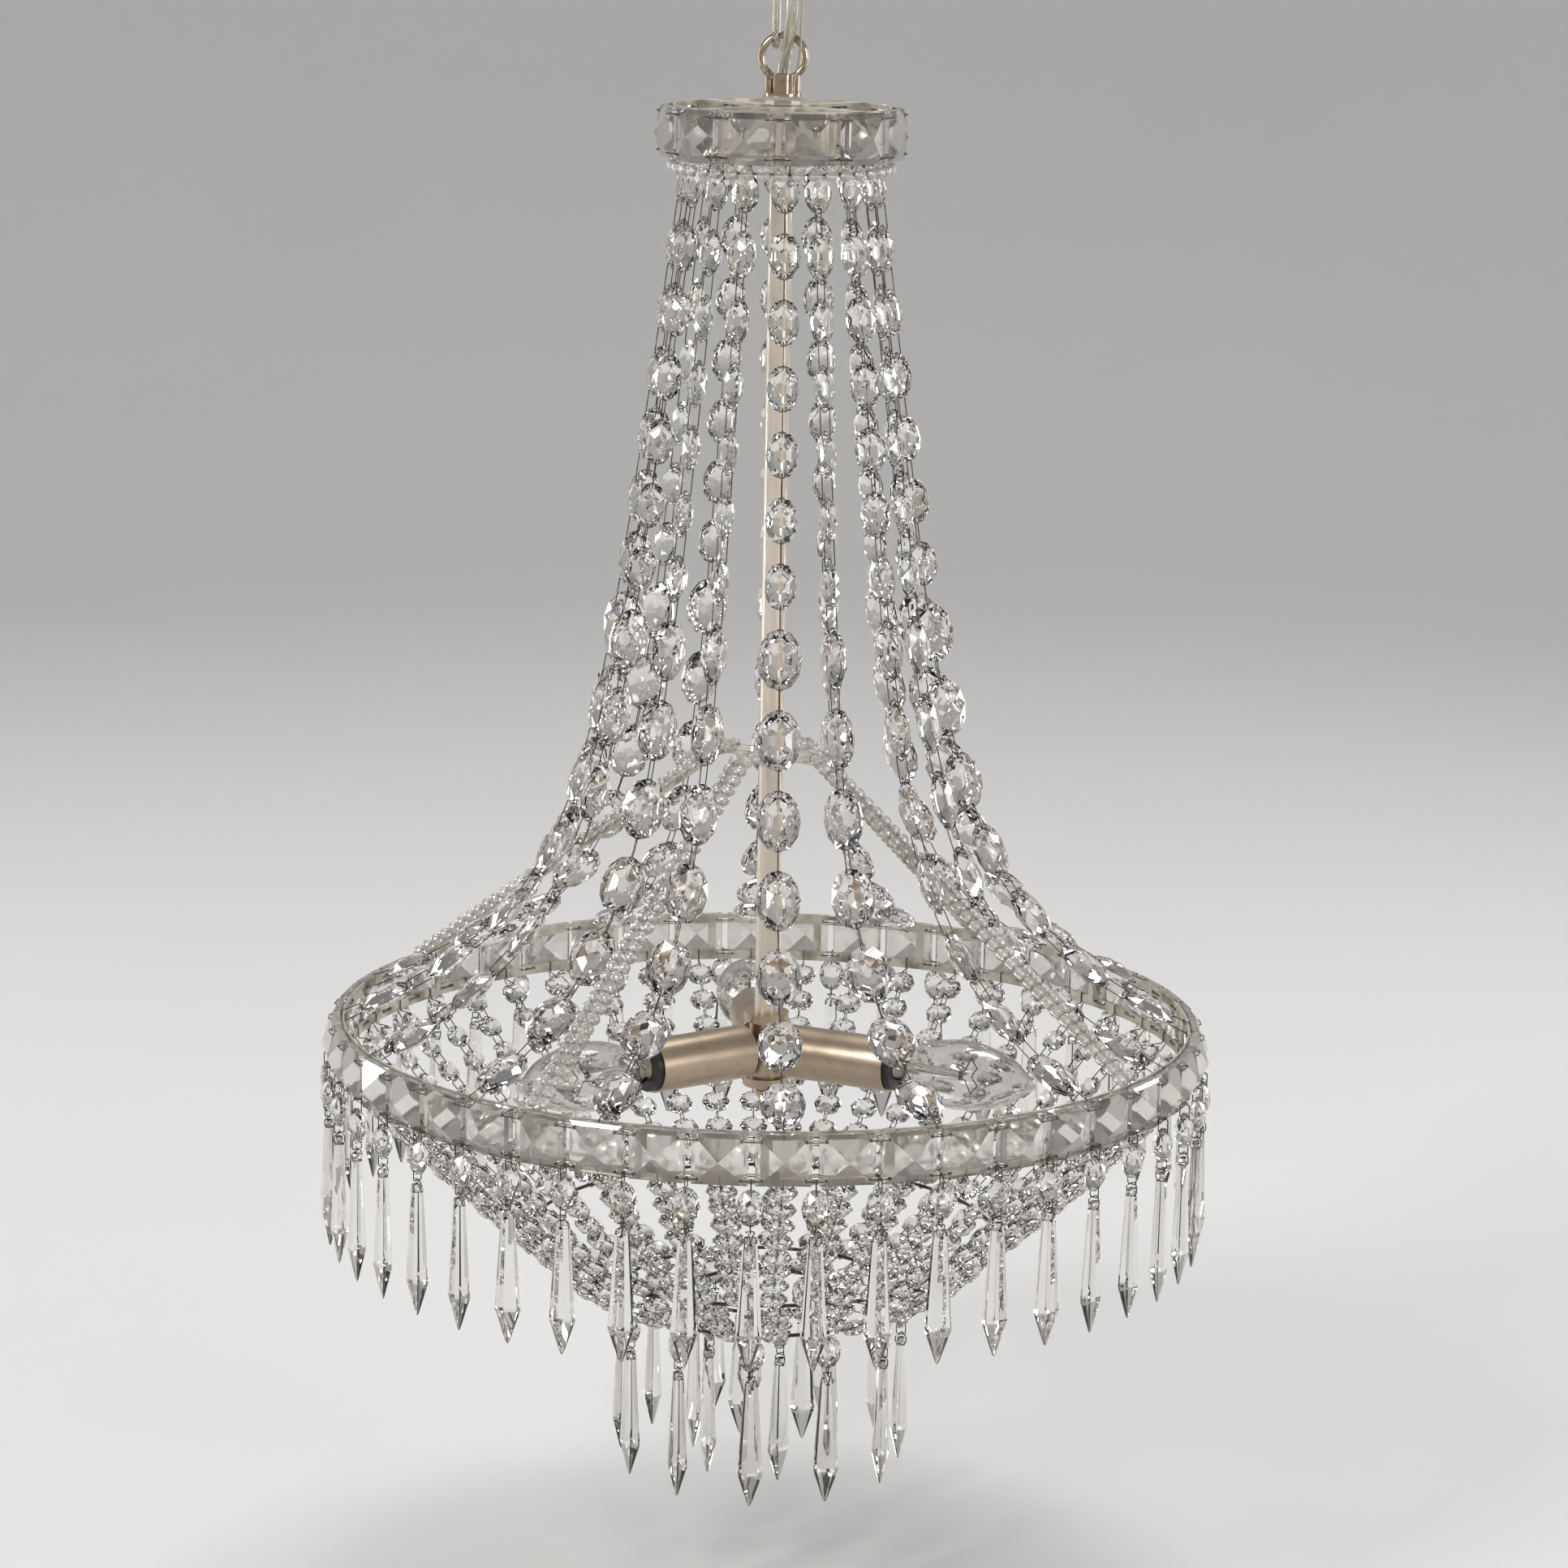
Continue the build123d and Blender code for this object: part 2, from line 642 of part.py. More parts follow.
def hoop_link(hoop, hole, lean, sides=6):
    """Link from a crystal's hole round a hoop wire."""
    away_r, away_z = hoop[0] - hole[0], hoop[1] - hole[1]
    run = hypot(away_r, away_z)
    past = HOOP_D / 2 + WRAP
    end = (hoop[0] + away_r / run * past, hoop[1] + away_z / run * past)
    inner, outer = across(hole, lean)
    side_r, side_z = -away_z / run * past, away_r / run * past
    near, far = (end[0] + side_r, end[1] + side_z), (end[0] - side_r, end[1] - side_z)
    if hypot(inner[0] - near[0], inner[1] - near[1]) > hypot(inner[0] - far[0], inner[1] - far[1]):
        near, far = far, near
    return wire_loop([near, far, outer, inner], sides)


def strand_azimuths():
    """Azimuths of the strands: evenly between the arms, shifted to a seam or a crystal's middle."""
    found = []
    for start, end in zip(ARM_AZIMUTHS, ARM_AZIMUTHS[1:] + (ARM_AZIMUTHS[0] + 360.0,)):
        for k in range(STRANDS_PER_QUARTER):
            wanted = start + (end - start) * (k + 0.5) / STRANDS_PER_QUARTER
            steps = round((wanted - RING_SEAM_AZIMUTH) / (RING_PITCH / 2))
            found.append(RING_SEAM_AZIMUTH + steps * RING_PITCH / 2)
    return found


def strand_shape(flare, lengths):
    """Holes, leans and links of one strand in its radial plane."""
    flange = (STRAND_TOP_R, CROWN_BOTTOM + CROWN_FLANGE_THICK + WRAP)
    band = (RING_BAND_R - BAND_THICK / 2, RING_TOP - BAND_HEIGHT / 2)
    half, out = BAND_HEIGHT / 2 + WRAP, BAND_THICK / 2 + WRAP
    holes = hang(drape(flare), TOP_LINK, [size - 2 * HOLE_INSET for size in lengths], RING_LINK)
    leans = [lean_of(top, bottom) for top, bottom in holes]
    inner, outer = across(holes[0][0], leans[0])
    over = [(flange[0] - LINK_WIDTH / 2, flange[1]), (flange[0] + LINK_WIDTH / 2, flange[1])]
    first = wire_loop([*over, outer, inner])
    link = link_loop(hypot(holes[0][1][0] - holes[1][0][0], holes[0][1][1] - holes[1][0][1]))
    inner, outer = across(holes[-1][1], leans[-1])
    last = wire_loop([
        (band[0] + out, band[1] + half), (band[0] + out, band[1] - half), (band[0] - out, band[1] - half),
        inner, outer, (band[0] - out, band[1] + half),
    ])
    return holes, leans, first, link, last


def hanging_strands():
    """Small ovals, large ovals and links of the sixteen strands from crown to ring."""
    top_size = tuple(TOP_OVAL_SCALE * s for s in SMALL_OVAL)
    top_oval, small_oval, large_oval = (oval_crystal(*size) for size in (top_size, SMALL_OVAL, LARGE_OVAL))
    large_span, small_span = LARGE_OVAL[0] - 2 * HOLE_INSET, SMALL_OVAL[0] - 2 * HOLE_INSET
    room = length_of(drape(STRAND_FLARE_LENGTH)) - TOP_LINK - RING_LINK + LINK_GOAL
    large_count = round((room - SMALL_COUNT * (small_span + LINK_GOAL)) / (large_span + LINK_GOAL))
    lengths = [top_size[0]] + [SMALL_OVAL[0]] * (SMALL_COUNT - 1) + [LARGE_OVAL[0]] * large_count
    shapes = [top_oval] + [small_oval] * (SMALL_COUNT - 1) + [large_oval] * large_count
    spreads = [STRAND_FLARE_SPREAD * (2 * k / (STRAND_VARIANTS - 1) - 1) for k in range(STRAND_VARIANTS)]
    variants = [strand_shape(STRAND_FLARE_LENGTH + spread, lengths) for spread in spreads]
    small, large, links = [], [], []
    for number, azimuth in enumerate(strand_azimuths()):
        holes, leans, first, link, last = variants[random.randrange(STRAND_VARIANTS)]
        whole_turn = 180.0 * (number % 3 - 1)
        turns = [whole_turn * k / (len(holes) - 1) for k in range(len(holes))]
        turns[1:-1] = [turn + random.uniform(-1, 1) * STRAND_TURN_STEP / 2 for turn in turns[1:-1]]
        for k, ((top, bottom), shape, lean, turn) in enumerate(zip(holes, shapes, leans, turns)):
            middle = ((top[0] + bottom[0]) / 2, (top[1] + bottom[1]) / 2)
            piece = radial(azimuth, *middle, lean) * Rot(0, 0, turn) * shape
            (small if k < SMALL_COUNT else large).append(piece)
        links.append(radial(azimuth, 0, 0) * first)
        for k in range(len(holes) - 1):
            upper, lower = holes[k][1], holes[k + 1][0]
            turn = (turns[k] + turns[k + 1]) / 2
            links.append(radial(azimuth, *upper, lean_of(upper, lower)) * Rot(0, 0, turn) * link)
        links.append(radial(azimuth, 0, 0) * last)
    return small, large, links


def basket():
    """Beads and links of the basket under the ring."""
    bead = oval_crystal(*BASKET_BEAD, mains=4, inset=BASKET_HOLE_INSET, bore_sides=8)
    span = BASKET_BEAD[0] - 2 * BASKET_HOLE_INSET
    half, out = BAND_HEIGHT / 2 + WRAP, BAND_THICK / 2 + WRAP
    band = (RING_BAND_R - BAND_THICK / 2, RING_BOTTOM + BAND_HEIGHT / 2)
    tiers = (
        (band, MID_HOOP, UPPER_BELLY, BASKET_AZIMUTHS),
        (MID_HOOP, LOWER_HOOP, LOWER_BELLY, LOWER_STRAND_AZIMUTHS),
        (LOWER_HOOP, INNER_HOOP, 0.0, INNER_STRAND_AZIMUTHS),
    )
    beads, links = [], []
    for start, end, belly, azimuths in tiers:
        first = BAND_LINK if start is band else HOOP_LINK
        curve = sagging(start, end, belly)
        room = length_of(curve) - first - HOOP_LINK + BASKET_LINK_GOAL
        count = round(room / (span + BASKET_LINK_GOAL))
        holes = hang(curve, first, [span] * count, HOOP_LINK)
        leans = [lean_of(top, bottom) for top, bottom in holes]
        inner, outer = across(holes[0][0], leans[0], BAND_LINK_WIDTH)
        if start is band:
            near_r, far_r, top_z, low_z = band[0] - out, band[0] + out, band[1] + half, band[1] - half
            round_band = [(near_r, top_z), (far_r, top_z), (far_r, low_z), outer, inner, (near_r, low_z)]
            loops = [wire_loop(round_band, 4)]
        else:
            loops = [hoop_link(start, holes[0][0], leans[0], 4)]
        for k in range(count - 1):
            loops.append(plane_link(holes[k][1], leans[k], holes[k + 1][0], leans[k + 1], 4))
        loops.append(hoop_link(end, holes[-1][1], leans[-1], 4))
        for azimuth in azimuths:
            for (top, bottom), lean in zip(holes, leans):
                middle = ((top[0] + bottom[0]) / 2, (top[1] + bottom[1]) / 2)
                beads.append(radial(azimuth, *middle, lean) * bead)
            links += [radial(azimuth, 0, 0) * loop for loop in loops]
    return beads, links


def hoops():
    """The three hoops that gather the basket."""
    return [Pos(0, 0, z) * Torus(r, HOOP_D / 2) for r, z in (MID_HOOP, LOWER_HOOP, INNER_HOOP)]


# Drops ----------------------------------------------------------------------------------------------


def prism_hook():
    """Open hook of wire: its top crosses along Y on the origin, its bottom passes through the prism."""
    neck = PRISM_NECK_D / 2 * PRISM[2] / PRISM[1] + WRAP
    left, right = Vector(0, -HOOK_TOP_WIDTH / 2, 0), Vector(0, HOOK_TOP_WIDTH / 2, 0)
    shoulder_z = PRISM_HOLE_INSET - HOOK_DROP + WRAP
    shoulder, other = Vector(neck, WIRE_D, shoulder_z), Vector(-neck, -WIRE_D, shoulder_z)
    front, back = Vector(neck, 0, -HOOK_DROP), Vector(-neck, 0, -HOOK_DROP)
    ends = [left + (other - left) * share for share in HOOK_OPEN]
    corners = [tuple(p) for p in (ends[0], left, right, shoulder, front, back, other, ends[1])]
    return bent_wire(eased(corners, closed=False), WIRE_D, 6, False)


def drop_row(name, azimuths, hang_r, wire_z, wire_clear, bead_top, pieces):
    """One row of drops: beads and links that stay, and prisms on hooks that swing in pairs.

    The hooks' upper wires lie on one line, which is the pair's hinge.
    """
    bead, prism, hook, eye = pieces
    top_wire, top_hole = wire_z + wire_clear, bead_top - HOLE_INSET
    bottom_hole = top_hole - (DROP_BEAD[0] - 2 * HOLE_INSET)
    hinge_z = bottom_hole - EYE_LINK + WIRE_D + WIRE_TOUCH
    hanger = link_loop(top_wire - top_hole)
    beads, links, groups = [], [], {}
    for number, (first, second) in enumerate(zip(azimuths[::2], azimuths[1::2]), 1):
        middle, half_angle = (first + second) / 2, radians(second - first) / 2
        apart, out = hang_r * sin(half_angle), hang_r * cos(half_angle)
        swinging = []
        for side in (-1, 1):
            place = radial(middle, out, 0) * Pos(0, side * apart, 0)
            beads.append(place * Pos(0, 0, (top_hole + bottom_hole) / 2) * bead)
            links += [place * Pos(0, 0, top_wire) * hanger, place * Pos(0, 0, bottom_hole) * eye]
            swinging += [place * Pos(0, 0, hinge_z) * hook, place * Pos(0, 0, hinge_z - HOOK_DROP) * prism]
        groups[f"{name}_prisms_{number:02d}"] = swinging
        print(f"hinge {name}_prisms_{number:02d} azimuth {middle:.4f} radius {out:.4f} level {hinge_z:.4f}")
    return beads, links, groups


def drops():
    """All drops: beads, links and one swinging group for each neighbouring pair of prisms."""
    foot_x, _, turn, front = tie_line(RING_BACK_R, RING_COUNT)
    seam_r = foot_x + front * cos(turn)
    tie_z = band_levels(RING_TOP, RING_BOTTOM)[1][1]
    under_ring = RING_BOTTOM - TRIM_GAP
    under_hoop, on_hoop = LOWER_HOOP[1] - HOOP_D / 2 - TRIM_GAP, HOOP_D / 2 + WRAP
    rows = (
        ("outer", ring_of(RING_COUNT, RING_SEAM_AZIMUTH), seam_r, tie_z, WIRE_D + WIRE_TOUCH, under_ring),
        ("lower", LOWER_AZIMUTHS, *LOWER_HOOP, on_hoop, under_hoop),
        ("inner", INNER_AZIMUTHS, *INNER_HOOP, on_hoop, under_hoop),
    )
    pieces = oval_crystal(*DROP_BEAD), prism_crystal(), prism_hook(), link_loop(EYE_LINK)
    beads, links, groups = [], [], {}
    for row in rows:
        row_beads, row_links, row_groups = drop_row(*row, pieces)
        beads += row_beads
        links += row_links
        groups |= row_groups
    return beads, links, groups


# Crown beads ----------------------------------------------------------------------------------------


def crown_beads():
    """Row of small beads under the crown, and the ring wire that threads them and ties to the flange."""
    radius = STRAND_TOP_R + CROWN_BEAD_OUTSET
    level = CROWN_BOTTOM - TRIM_GAP - CROWN_BEAD_D / 2
    bead = Rot(90, 0, 0) * round_bead(CROWN_BEAD_D, CROWN_BEAD_BORE_D)
    beads = [radial(a, radius, level) * bead for a in ring_of(CROWN_BEAD_COUNT)]
    tie_height = CROWN_BOTTOM - level
    ties = [
        radial(a, radius, level + tie_height / 2) * Cylinder(BEAD_TIE_D / 2, tie_height)
        for a in ring_of(BEAD_RING_TIES, 180.0 / CROWN_BEAD_COUNT)
    ]
    wire = (Pos(0, 0, level) * Torus(radius, BEAD_RING_WIRE_D / 2)).fuse(*ties)
    return beads, wire


# Hanging loop, washer, nut and stem -----------------------------------------------------------------


def hanging_loop():
    """Ring with two legs beside a bored nozzle, standing on a round foot."""
    ring_r = (LOOP_EYE_D + LOOP_WIRE_D) / 2
    leg_x = (NOZZLE_D + LOOP_WIRE_D) / 2 - 0.3
    foot_top = WASHER_TOP + NOZZLE_FOOT
    ring = Pos(0, 0, EYE_Z) * Rot(90, 0, 0) * Torus(ring_r, LOOP_WIRE_D / 2)
    leg_top = EYE_Z - ring_r * cos(atan2(leg_x, ring_r)) * 0.83
    legs = [
        Pos(side * leg_x, 0, 0) * from_to(LOOP_LEG_D / 2, foot_top, leg_top)
        for side in (-1, 1)
    ]
    nozzle = from_to(NOZZLE_D / 2, foot_top, foot_top + NOZZLE_HEIGHT)
    foot_r = leg_x + LOOP_WIRE_D / 2 + 0.4
    foot = from_to(foot_r, WASHER_TOP, WASHER_TOP + NOZZLE_FOOT)
    body = ring.fuse(*legs, nozzle, foot)
    bore_floor = WASHER_TOP + NOZZLE_STEP
    bore = from_to(NOZZLE_BORE_D / 2, bore_floor, bore_floor + NOZZLE_HEIGHT + LOOP_WIRE_D)
    lead = from_to(NOZZLE_LEAD_D / 2, WASHER_TOP, WASHER_TOP + NOZZLE_HEIGHT)
    return body.cut(bore, lead)


def washer_and_nut():
    """Square washer under the loop, and the hex nut below it."""
    washer = bar(0, 0, WASHER_TOP - WASHER_THICK / 2, WASHER_SIDE, WASHER_SIDE, WASHER_THICK)
    hexagon = RegularPolygon(NUT_FLATS / 2, 6, major_radius=False)
    nut = Pos(0, 0, NUT_TOP - NUT_THICK) * extrude(hexagon, NUT_THICK)
    bore = Pos(0, 0, HUB_TOP) * Cylinder(NOZZLE_LEAD_D / 2, 4 * (WASHER_THICK + NUT_THICK))
    return [washer - bore, nut - bore]


def stem_tube():
    """Tube from the crown's hub to the lamp cluster."""
    bottom = LAMP_Z + CLUSTER_HEIGHT / 2
    top = CROWN_TOP - HUB_THICK
    return Pos(0, 0, bottom) * tube(STEM_D / 2, STEM_D / 2 - STEM_WALL, top - bottom)


# Arms -----------------------------------------------------------------------------------------------


def arm_route(rise):
    """Route of an arm in its radial plane, rise above its core, as a wire in XZ."""
    end_r = RING_BAND_R - BAND_THICK - TRIM_GAP - ARM_CORE_D / 2
    end_z = RING_TOP - ARM_CORE_D / 2
    slope = atan2(ARM_Z - end_z, end_r - ARM_SHOULDER_R)
    corner = rise * tan(slope / 2)
    points = [
        Vector(STEM_D / 2 + ARM_COLLAR_WALL - 0.5, 0, ARM_Z + rise),
        Vector(ARM_SHOULDER_R + corner, 0, ARM_Z + rise),
        Vector(end_r + rise * sin(slope), 0, end_z + rise * cos(slope)),
    ]
    return FilletPolyline(*points, radius=ARM_BEND_R + rise)


def swept(route, diameter):
    """Round wire along a route."""
    start = Plane(origin=route @ 0, z_dir=route % 0)
    return sweep(start * Circle(diameter / 2), path=route)


def arms():
    """Collar with four arm cores, the bead threads beside each core, and the beads."""
    beside = (ARM_BEAD_D + ARM_BEAD_GAP) / 2
    reach = ARM_CORE_D / 2 + ARM_BEAD_D / 2 + WIRE_CLEARANCE
    rise = (reach**2 - beside**2) ** 0.5
    collar = Pos(0, 0, ARM_Z - ARM_COLLAR_HEIGHT / 2) * tube(
        STEM_D / 2 + ARM_COLLAR_WALL, STEM_D / 2 + WIRE_CLEARANCE, ARM_COLLAR_HEIGHT)
    core = swept(arm_route(0.0), ARM_CORE_D)
    frame = collar.fuse(*[radial(a, 0, 0) * core for a in ARM_AZIMUTHS])
    route = arm_route(rise)
    thread = swept(route, WIRE_D)
    bead = faceted_bead(ARM_BEAD_D, ARM_BEAD_BORE_D)
    pitch = ARM_BEAD_D + ARM_BEAD_GAP
    count = int((route.length - ARM_BEAD_D) / pitch)
    threads, beads = [], []
    for azimuth in ARM_AZIMUTHS:
        for side in (-1, 1):
            place = radial(azimuth, 0, 0) * Pos(0, side * beside, 0)
            threads.append(place * thread)
            for k in range(count):
                at = (route.length - ARM_BEAD_D / 2 - k * pitch) / route.length
                point, along = route @ at, route % at
                lean = degrees(atan2(along.X, along.Z))
                beads.append(place * Pos(point.X, 0, point.Z) * Rot(0, lean, 0) * bead)
    return frame, threads, beads


# Lamp cluster ---------------------------------------------------------------------------------------


def socket_frame(azimuth):
    """Frame on the cluster's axis with Z pointing out along one lamp."""
    return radial(azimuth, 0, LAMP_Z) * Rot(0, 90, 0)


def from_to(radius, start, end):
    """Cylinder on Z from start to end."""
    return Pos(0, 0, start) * Cylinder(radius, end - start, align=(Align.CENTER, Align.CENTER, Align.MIN))


def cluster_body():
    """Turned body with two flanges and three nipples."""
    half = CLUSTER_HEIGHT / 2
    body = Pos(0, 0, LAMP_Z) * Cylinder(CLUSTER_D / 2, CLUSTER_HEIGHT)
    flange = Cylinder(CLUSTER_FLANGE_D / 2, CLUSTER_FLANGE)
    flanges = [
        Pos(0, 0, LAMP_Z + side * (half - CLUSTER_FLANGE / 2)) * flange
        for side in (-1, 1)
    ]
    nipples = [socket_frame(a) * from_to(NIPPLE_D / 2, 0, INSERT_START) for a in LAMP_AZIMUTHS]
    bores = [socket_frame(a) * from_to(NIPPLE_BORE_D / 2, 0, INSERT_START) for a in LAMP_AZIMUTHS]
    solid = body.fuse(*flanges, *nipples)
    return solid.cut(*bores, Pos(0, 0, LAMP_Z) * from_to(STEM_D / 2 - STEM_WALL, 0, half))


def cluster_finial():
    """Small turned knob under the cluster."""
    top = LAMP_Z - CLUSTER_HEIGHT / 2
    knob = Sphere(FINIAL_D / 2) & Pos(0, 0, -FINIAL_D / 2) * Box(FINIAL_D, FINIAL_D, FINIAL_D)
    neck = from_to(FINIAL_D / 3, 0, FINIAL_HEIGHT - FINIAL_D / 2)
    return Pos(0, 0, top - FINIAL_HEIGHT + FINIAL_D / 2) * (knob + from_to(FINIAL_D / 2, 0, 0.8) + neck)


def socket_cover():
    """Cup with a hole in its back for the nipple, on Z."""
    end = SOCKET_START_R + SOCKET_LENGTH
    cup = from_to(SOCKET_D / 2, SOCKET_START_R, end) - from_to(
        SOCKET_D / 2 - SOCKET_WALL, SOCKET_START_R + SOCKET_WALL, end)
    cup -= from_to(NIPPLE_D / 2 + WIRE_CLEARANCE, 0, SOCKET_START_R + 2 * SOCKET_WALL)
    return chamfer(cup.edges().group_by(Axis.Z)[0].sort_by(SortBy.RADIUS)[-1:], SOCKET_WALL / 2)


def socket_insert():
    """Black insert inside a cover, bored for the bulb's base, on Z."""
    body = from_to(SOCKET_D / 2 - SOCKET_WALL - INSERT_CLEARANCE, INSERT_START, SOCKET_MOUTH)
    bore = from_to(BASE_D / 2 + BASE_CLEARANCE, SOCKET_MOUTH - INSERT_DEPTH, SOCKET_MOUTH)
    return body - bore - from_to(NIPPLE_BORE_D / 2, INSERT_START, SOCKET_MOUTH)


def bulb():
    """Torpedo bulb on Z: envelope, screw base, glass stem and filament."""
    start = SOCKET_MOUTH + BASE_CLEARANCE

    def outline(wall):
        reach, radius = BULB_LENGTH - wall, BULB_D / 2 - wall
        stops = [(BULB_NECK_D / 2 - wall, 0.0, start)]
        stops += [(radius * out, 0.0, start + reach * along) for along, out in BULB_PROFILE]
        stops.append((0.0, 0.0, start + reach))
        return Spline(*stops, tangents=[(0.25, 0, 1), (-1, 0, 0)])

    outer, inner = outline(0.0), outline(GLASS_WALL)
    edges = [outer, inner, Line(outer @ 1, inner @ 1), Line(outer @ 0, inner @ 0)]
    envelope = revolve(make_face(edges), Axis.Z)
    contact = from_to(BASE_D / 5, start - BASE_LENGTH - 2, start)
    base = from_to(BASE_D / 2, start - BASE_LENGTH, start) + contact
    stem = from_to(BULB_STEM_D / 2, start, start + BULB_STEM_LENGTH)
    tip, half = start + BULB_STEM_LENGTH, FILAMENT_SPAN / 2
    zigzag = [
        (-half / 4, 0, tip), (-half / 4, 0, tip + 2), (-half, 0, tip + 5), (-half / 2, 0, tip + 8),
        (0, 0, tip + 5), (half / 2, 0, tip + 8), (half, 0, tip + 5), (half / 4, 0, tip + 2),
        (half / 4, 0, tip),
    ]
    return [envelope, base, stem, bent_wire(zigzag, FILAMENT_D, 6, False)]


# Cords ----------------------------------------------------------------------------------------------

LAMP_CORD = [
    (0.0, 0.0, WASHER_TOP + NOZZLE_STEP), (0.0, 0.0, -14.8), (0.9, -3.8, -6.0), (2.8, -7.4, 3.0),
    (3.7, -9.6, 14.0), (3.7, -9.6, CEILING_Z),
]
SUPPORT_CORD = [(-3.2, -3.6, CEILING_Z), (-3.2, -3.6, -2.8), (-3.2, 3.6, -2.8), (-3.2, 3.6, CEILING_Z)]
GROUND_WIRE = [
    (4.6, -5.2, WASHER_TOP + NOZZLE_FOOT), (4.6, -5.2, -17.5), (6.4, -5.6, -11.0), (7.4, -6.4, -3.0),
    (7.3, -8.4, 6.0), (7.9, -10.2, 16.0), (7.9, -10.2, CEILING_Z),
]


def cord(name, points, diameter):
    """Round cord along straight runs joined by arcs as large as the runs allow."""
    stops = [Vector(*p) for p in points]
    radii = []
    for before, corner, after in zip(stops, stops[1:], stops[2:]):
        turn = (corner - before).get_angle(after - corner)
        radii.append(0.45 * min((corner - before).length, (after - corner).length) / tan(radians(turn) / 2))
    route = FilletPolyline(*stops, radius=radii)
    tube_solid = swept(route, diameter)
    full = pi * diameter**2 / 4 * route.length
    print(f"cord {name} length {route.length:.1f} radii {[round(r, 1) for r in radii]}",
          f"volume ratio {tube_solid.volume / full:.4f}")
    return tube_solid


def ceiling_fitting():
    """Round cup with two screw holes that the cords come out of."""
    cup = Pos(0, 0, CEILING_Z) * Cylinder(
        CEILING_FITTING_D / 2, CEILING_FITTING_HEIGHT, align=(Align.CENTER, Align.CENTER, Align.MIN))
    cup = fillet(cup.edges().group_by(Axis.Z)[0], CEILING_FITTING_FILLET)
    inside = CEILING_FITTING_D / 2 - CEILING_FITTING_WALL
    cup -= Pos(0, 0, CEILING_Z + CEILING_FITTING_FLOOR) * Cylinder(
        inside, CEILING_FITTING_HEIGHT, align=(Align.CENTER, Align.CENTER, Align.MIN))
    for side in (-1, 1):
        cup -= Pos(side * CEILING_SCREW_SPACING / 2, 0, CEILING_Z) * Cylinder(
            CEILING_SCREW_D / 2, 4 * CEILING_FITTING_FLOOR)
    return cup


# Nodes ----------------------------------------------------------------------------------------------

os.makedirs("parts", exist_ok=True)

save("hanging_loop", [hanging_loop()])
save("loop_washer", washer_and_nut())
save("stem_tube", [stem_tube()])
save("crown_frame", [crown_frame()])
save("ring_frame", [ring_frame()])
save("crown_squares", square_crystals(CROWN_BACK_R, CROWN_COUNT, CROWN_TOP, CROWN_SEAM_AZIMUTH))
save("ring_squares", square_crystals(RING_BACK_R, RING_COUNT, RING_TOP, RING_SEAM_AZIMUTH))

crown_bead_solids, crown_bead_wire = crown_beads()
save("crown_beads", crown_bead_solids)
save("frame_staples", [
    *staples(CROWN_BACK_R, CROWN_COUNT, CROWN_TOP, CROWN_BOTTOM, CROWN_SEAM_AZIMUTH),
    *staples(RING_BACK_R, RING_COUNT, RING_TOP, RING_BOTTOM, RING_SEAM_AZIMUTH),
    crown_bead_wire,
])

arm_core, arm_threads, arm_bead_solids = arms()
save("arm_frame", [arm_core, *arm_threads])
save("arm_beads", arm_bead_solids)

small_ovals, large_ovals, strand_links = hanging_strands()
basket_bead_solids, basket_links = basket()
drop_bead_solids, drop_links, prism_groups = drops()
save("small_ovals", small_ovals)
save("large_ovals", large_ovals)
save("crystal_links", strand_links + basket_links + drop_links)
save("basket_beads", basket_bead_solids)
save("basket_hoops", hoops())
save("drop_beads", drop_bead_solids)
for node, group in prism_groups.items():
    save(node, group)

save("cluster_body", [cluster_body()])
save("cluster_finial", [cluster_finial()])
save("socket_covers", [socket_frame(a) * socket_cover() for a in LAMP_AZIMUTHS])
save("socket_inserts", [socket_frame(a) * socket_insert() for a in LAMP_AZIMUTHS])
for number, lamp_azimuth in enumerate(LAMP_AZIMUTHS, 1):
    save(f"lamp_{number}", [socket_frame(lamp_azimuth) * piece for piece in bulb()])

save("lamp_cord", [cord("lamp_cord", LAMP_CORD, CORD_D)])
save("support_cord", [cord("support_cord", SUPPORT_CORD, SUPPORT_CORD_D)])
save("ground_wire", [cord("ground_wire", GROUND_WIRE, GROUND_WIRE_D)])
save("ceiling_fitting", [ceiling_fitting()])
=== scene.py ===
"""Crystal chandelier: finishes, cords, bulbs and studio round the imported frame.

Metres, +Z up, -Y towards the front. The origin is the point in the hanging loop that bears on its hook.
"""
from __future__ import annotations

import json
import logging
import math
from dataclasses import dataclass
from enum import Enum
from typing import Any, Iterable, Sequence, Union

import bmesh
import bpy
from mathutils import Matrix, Vector

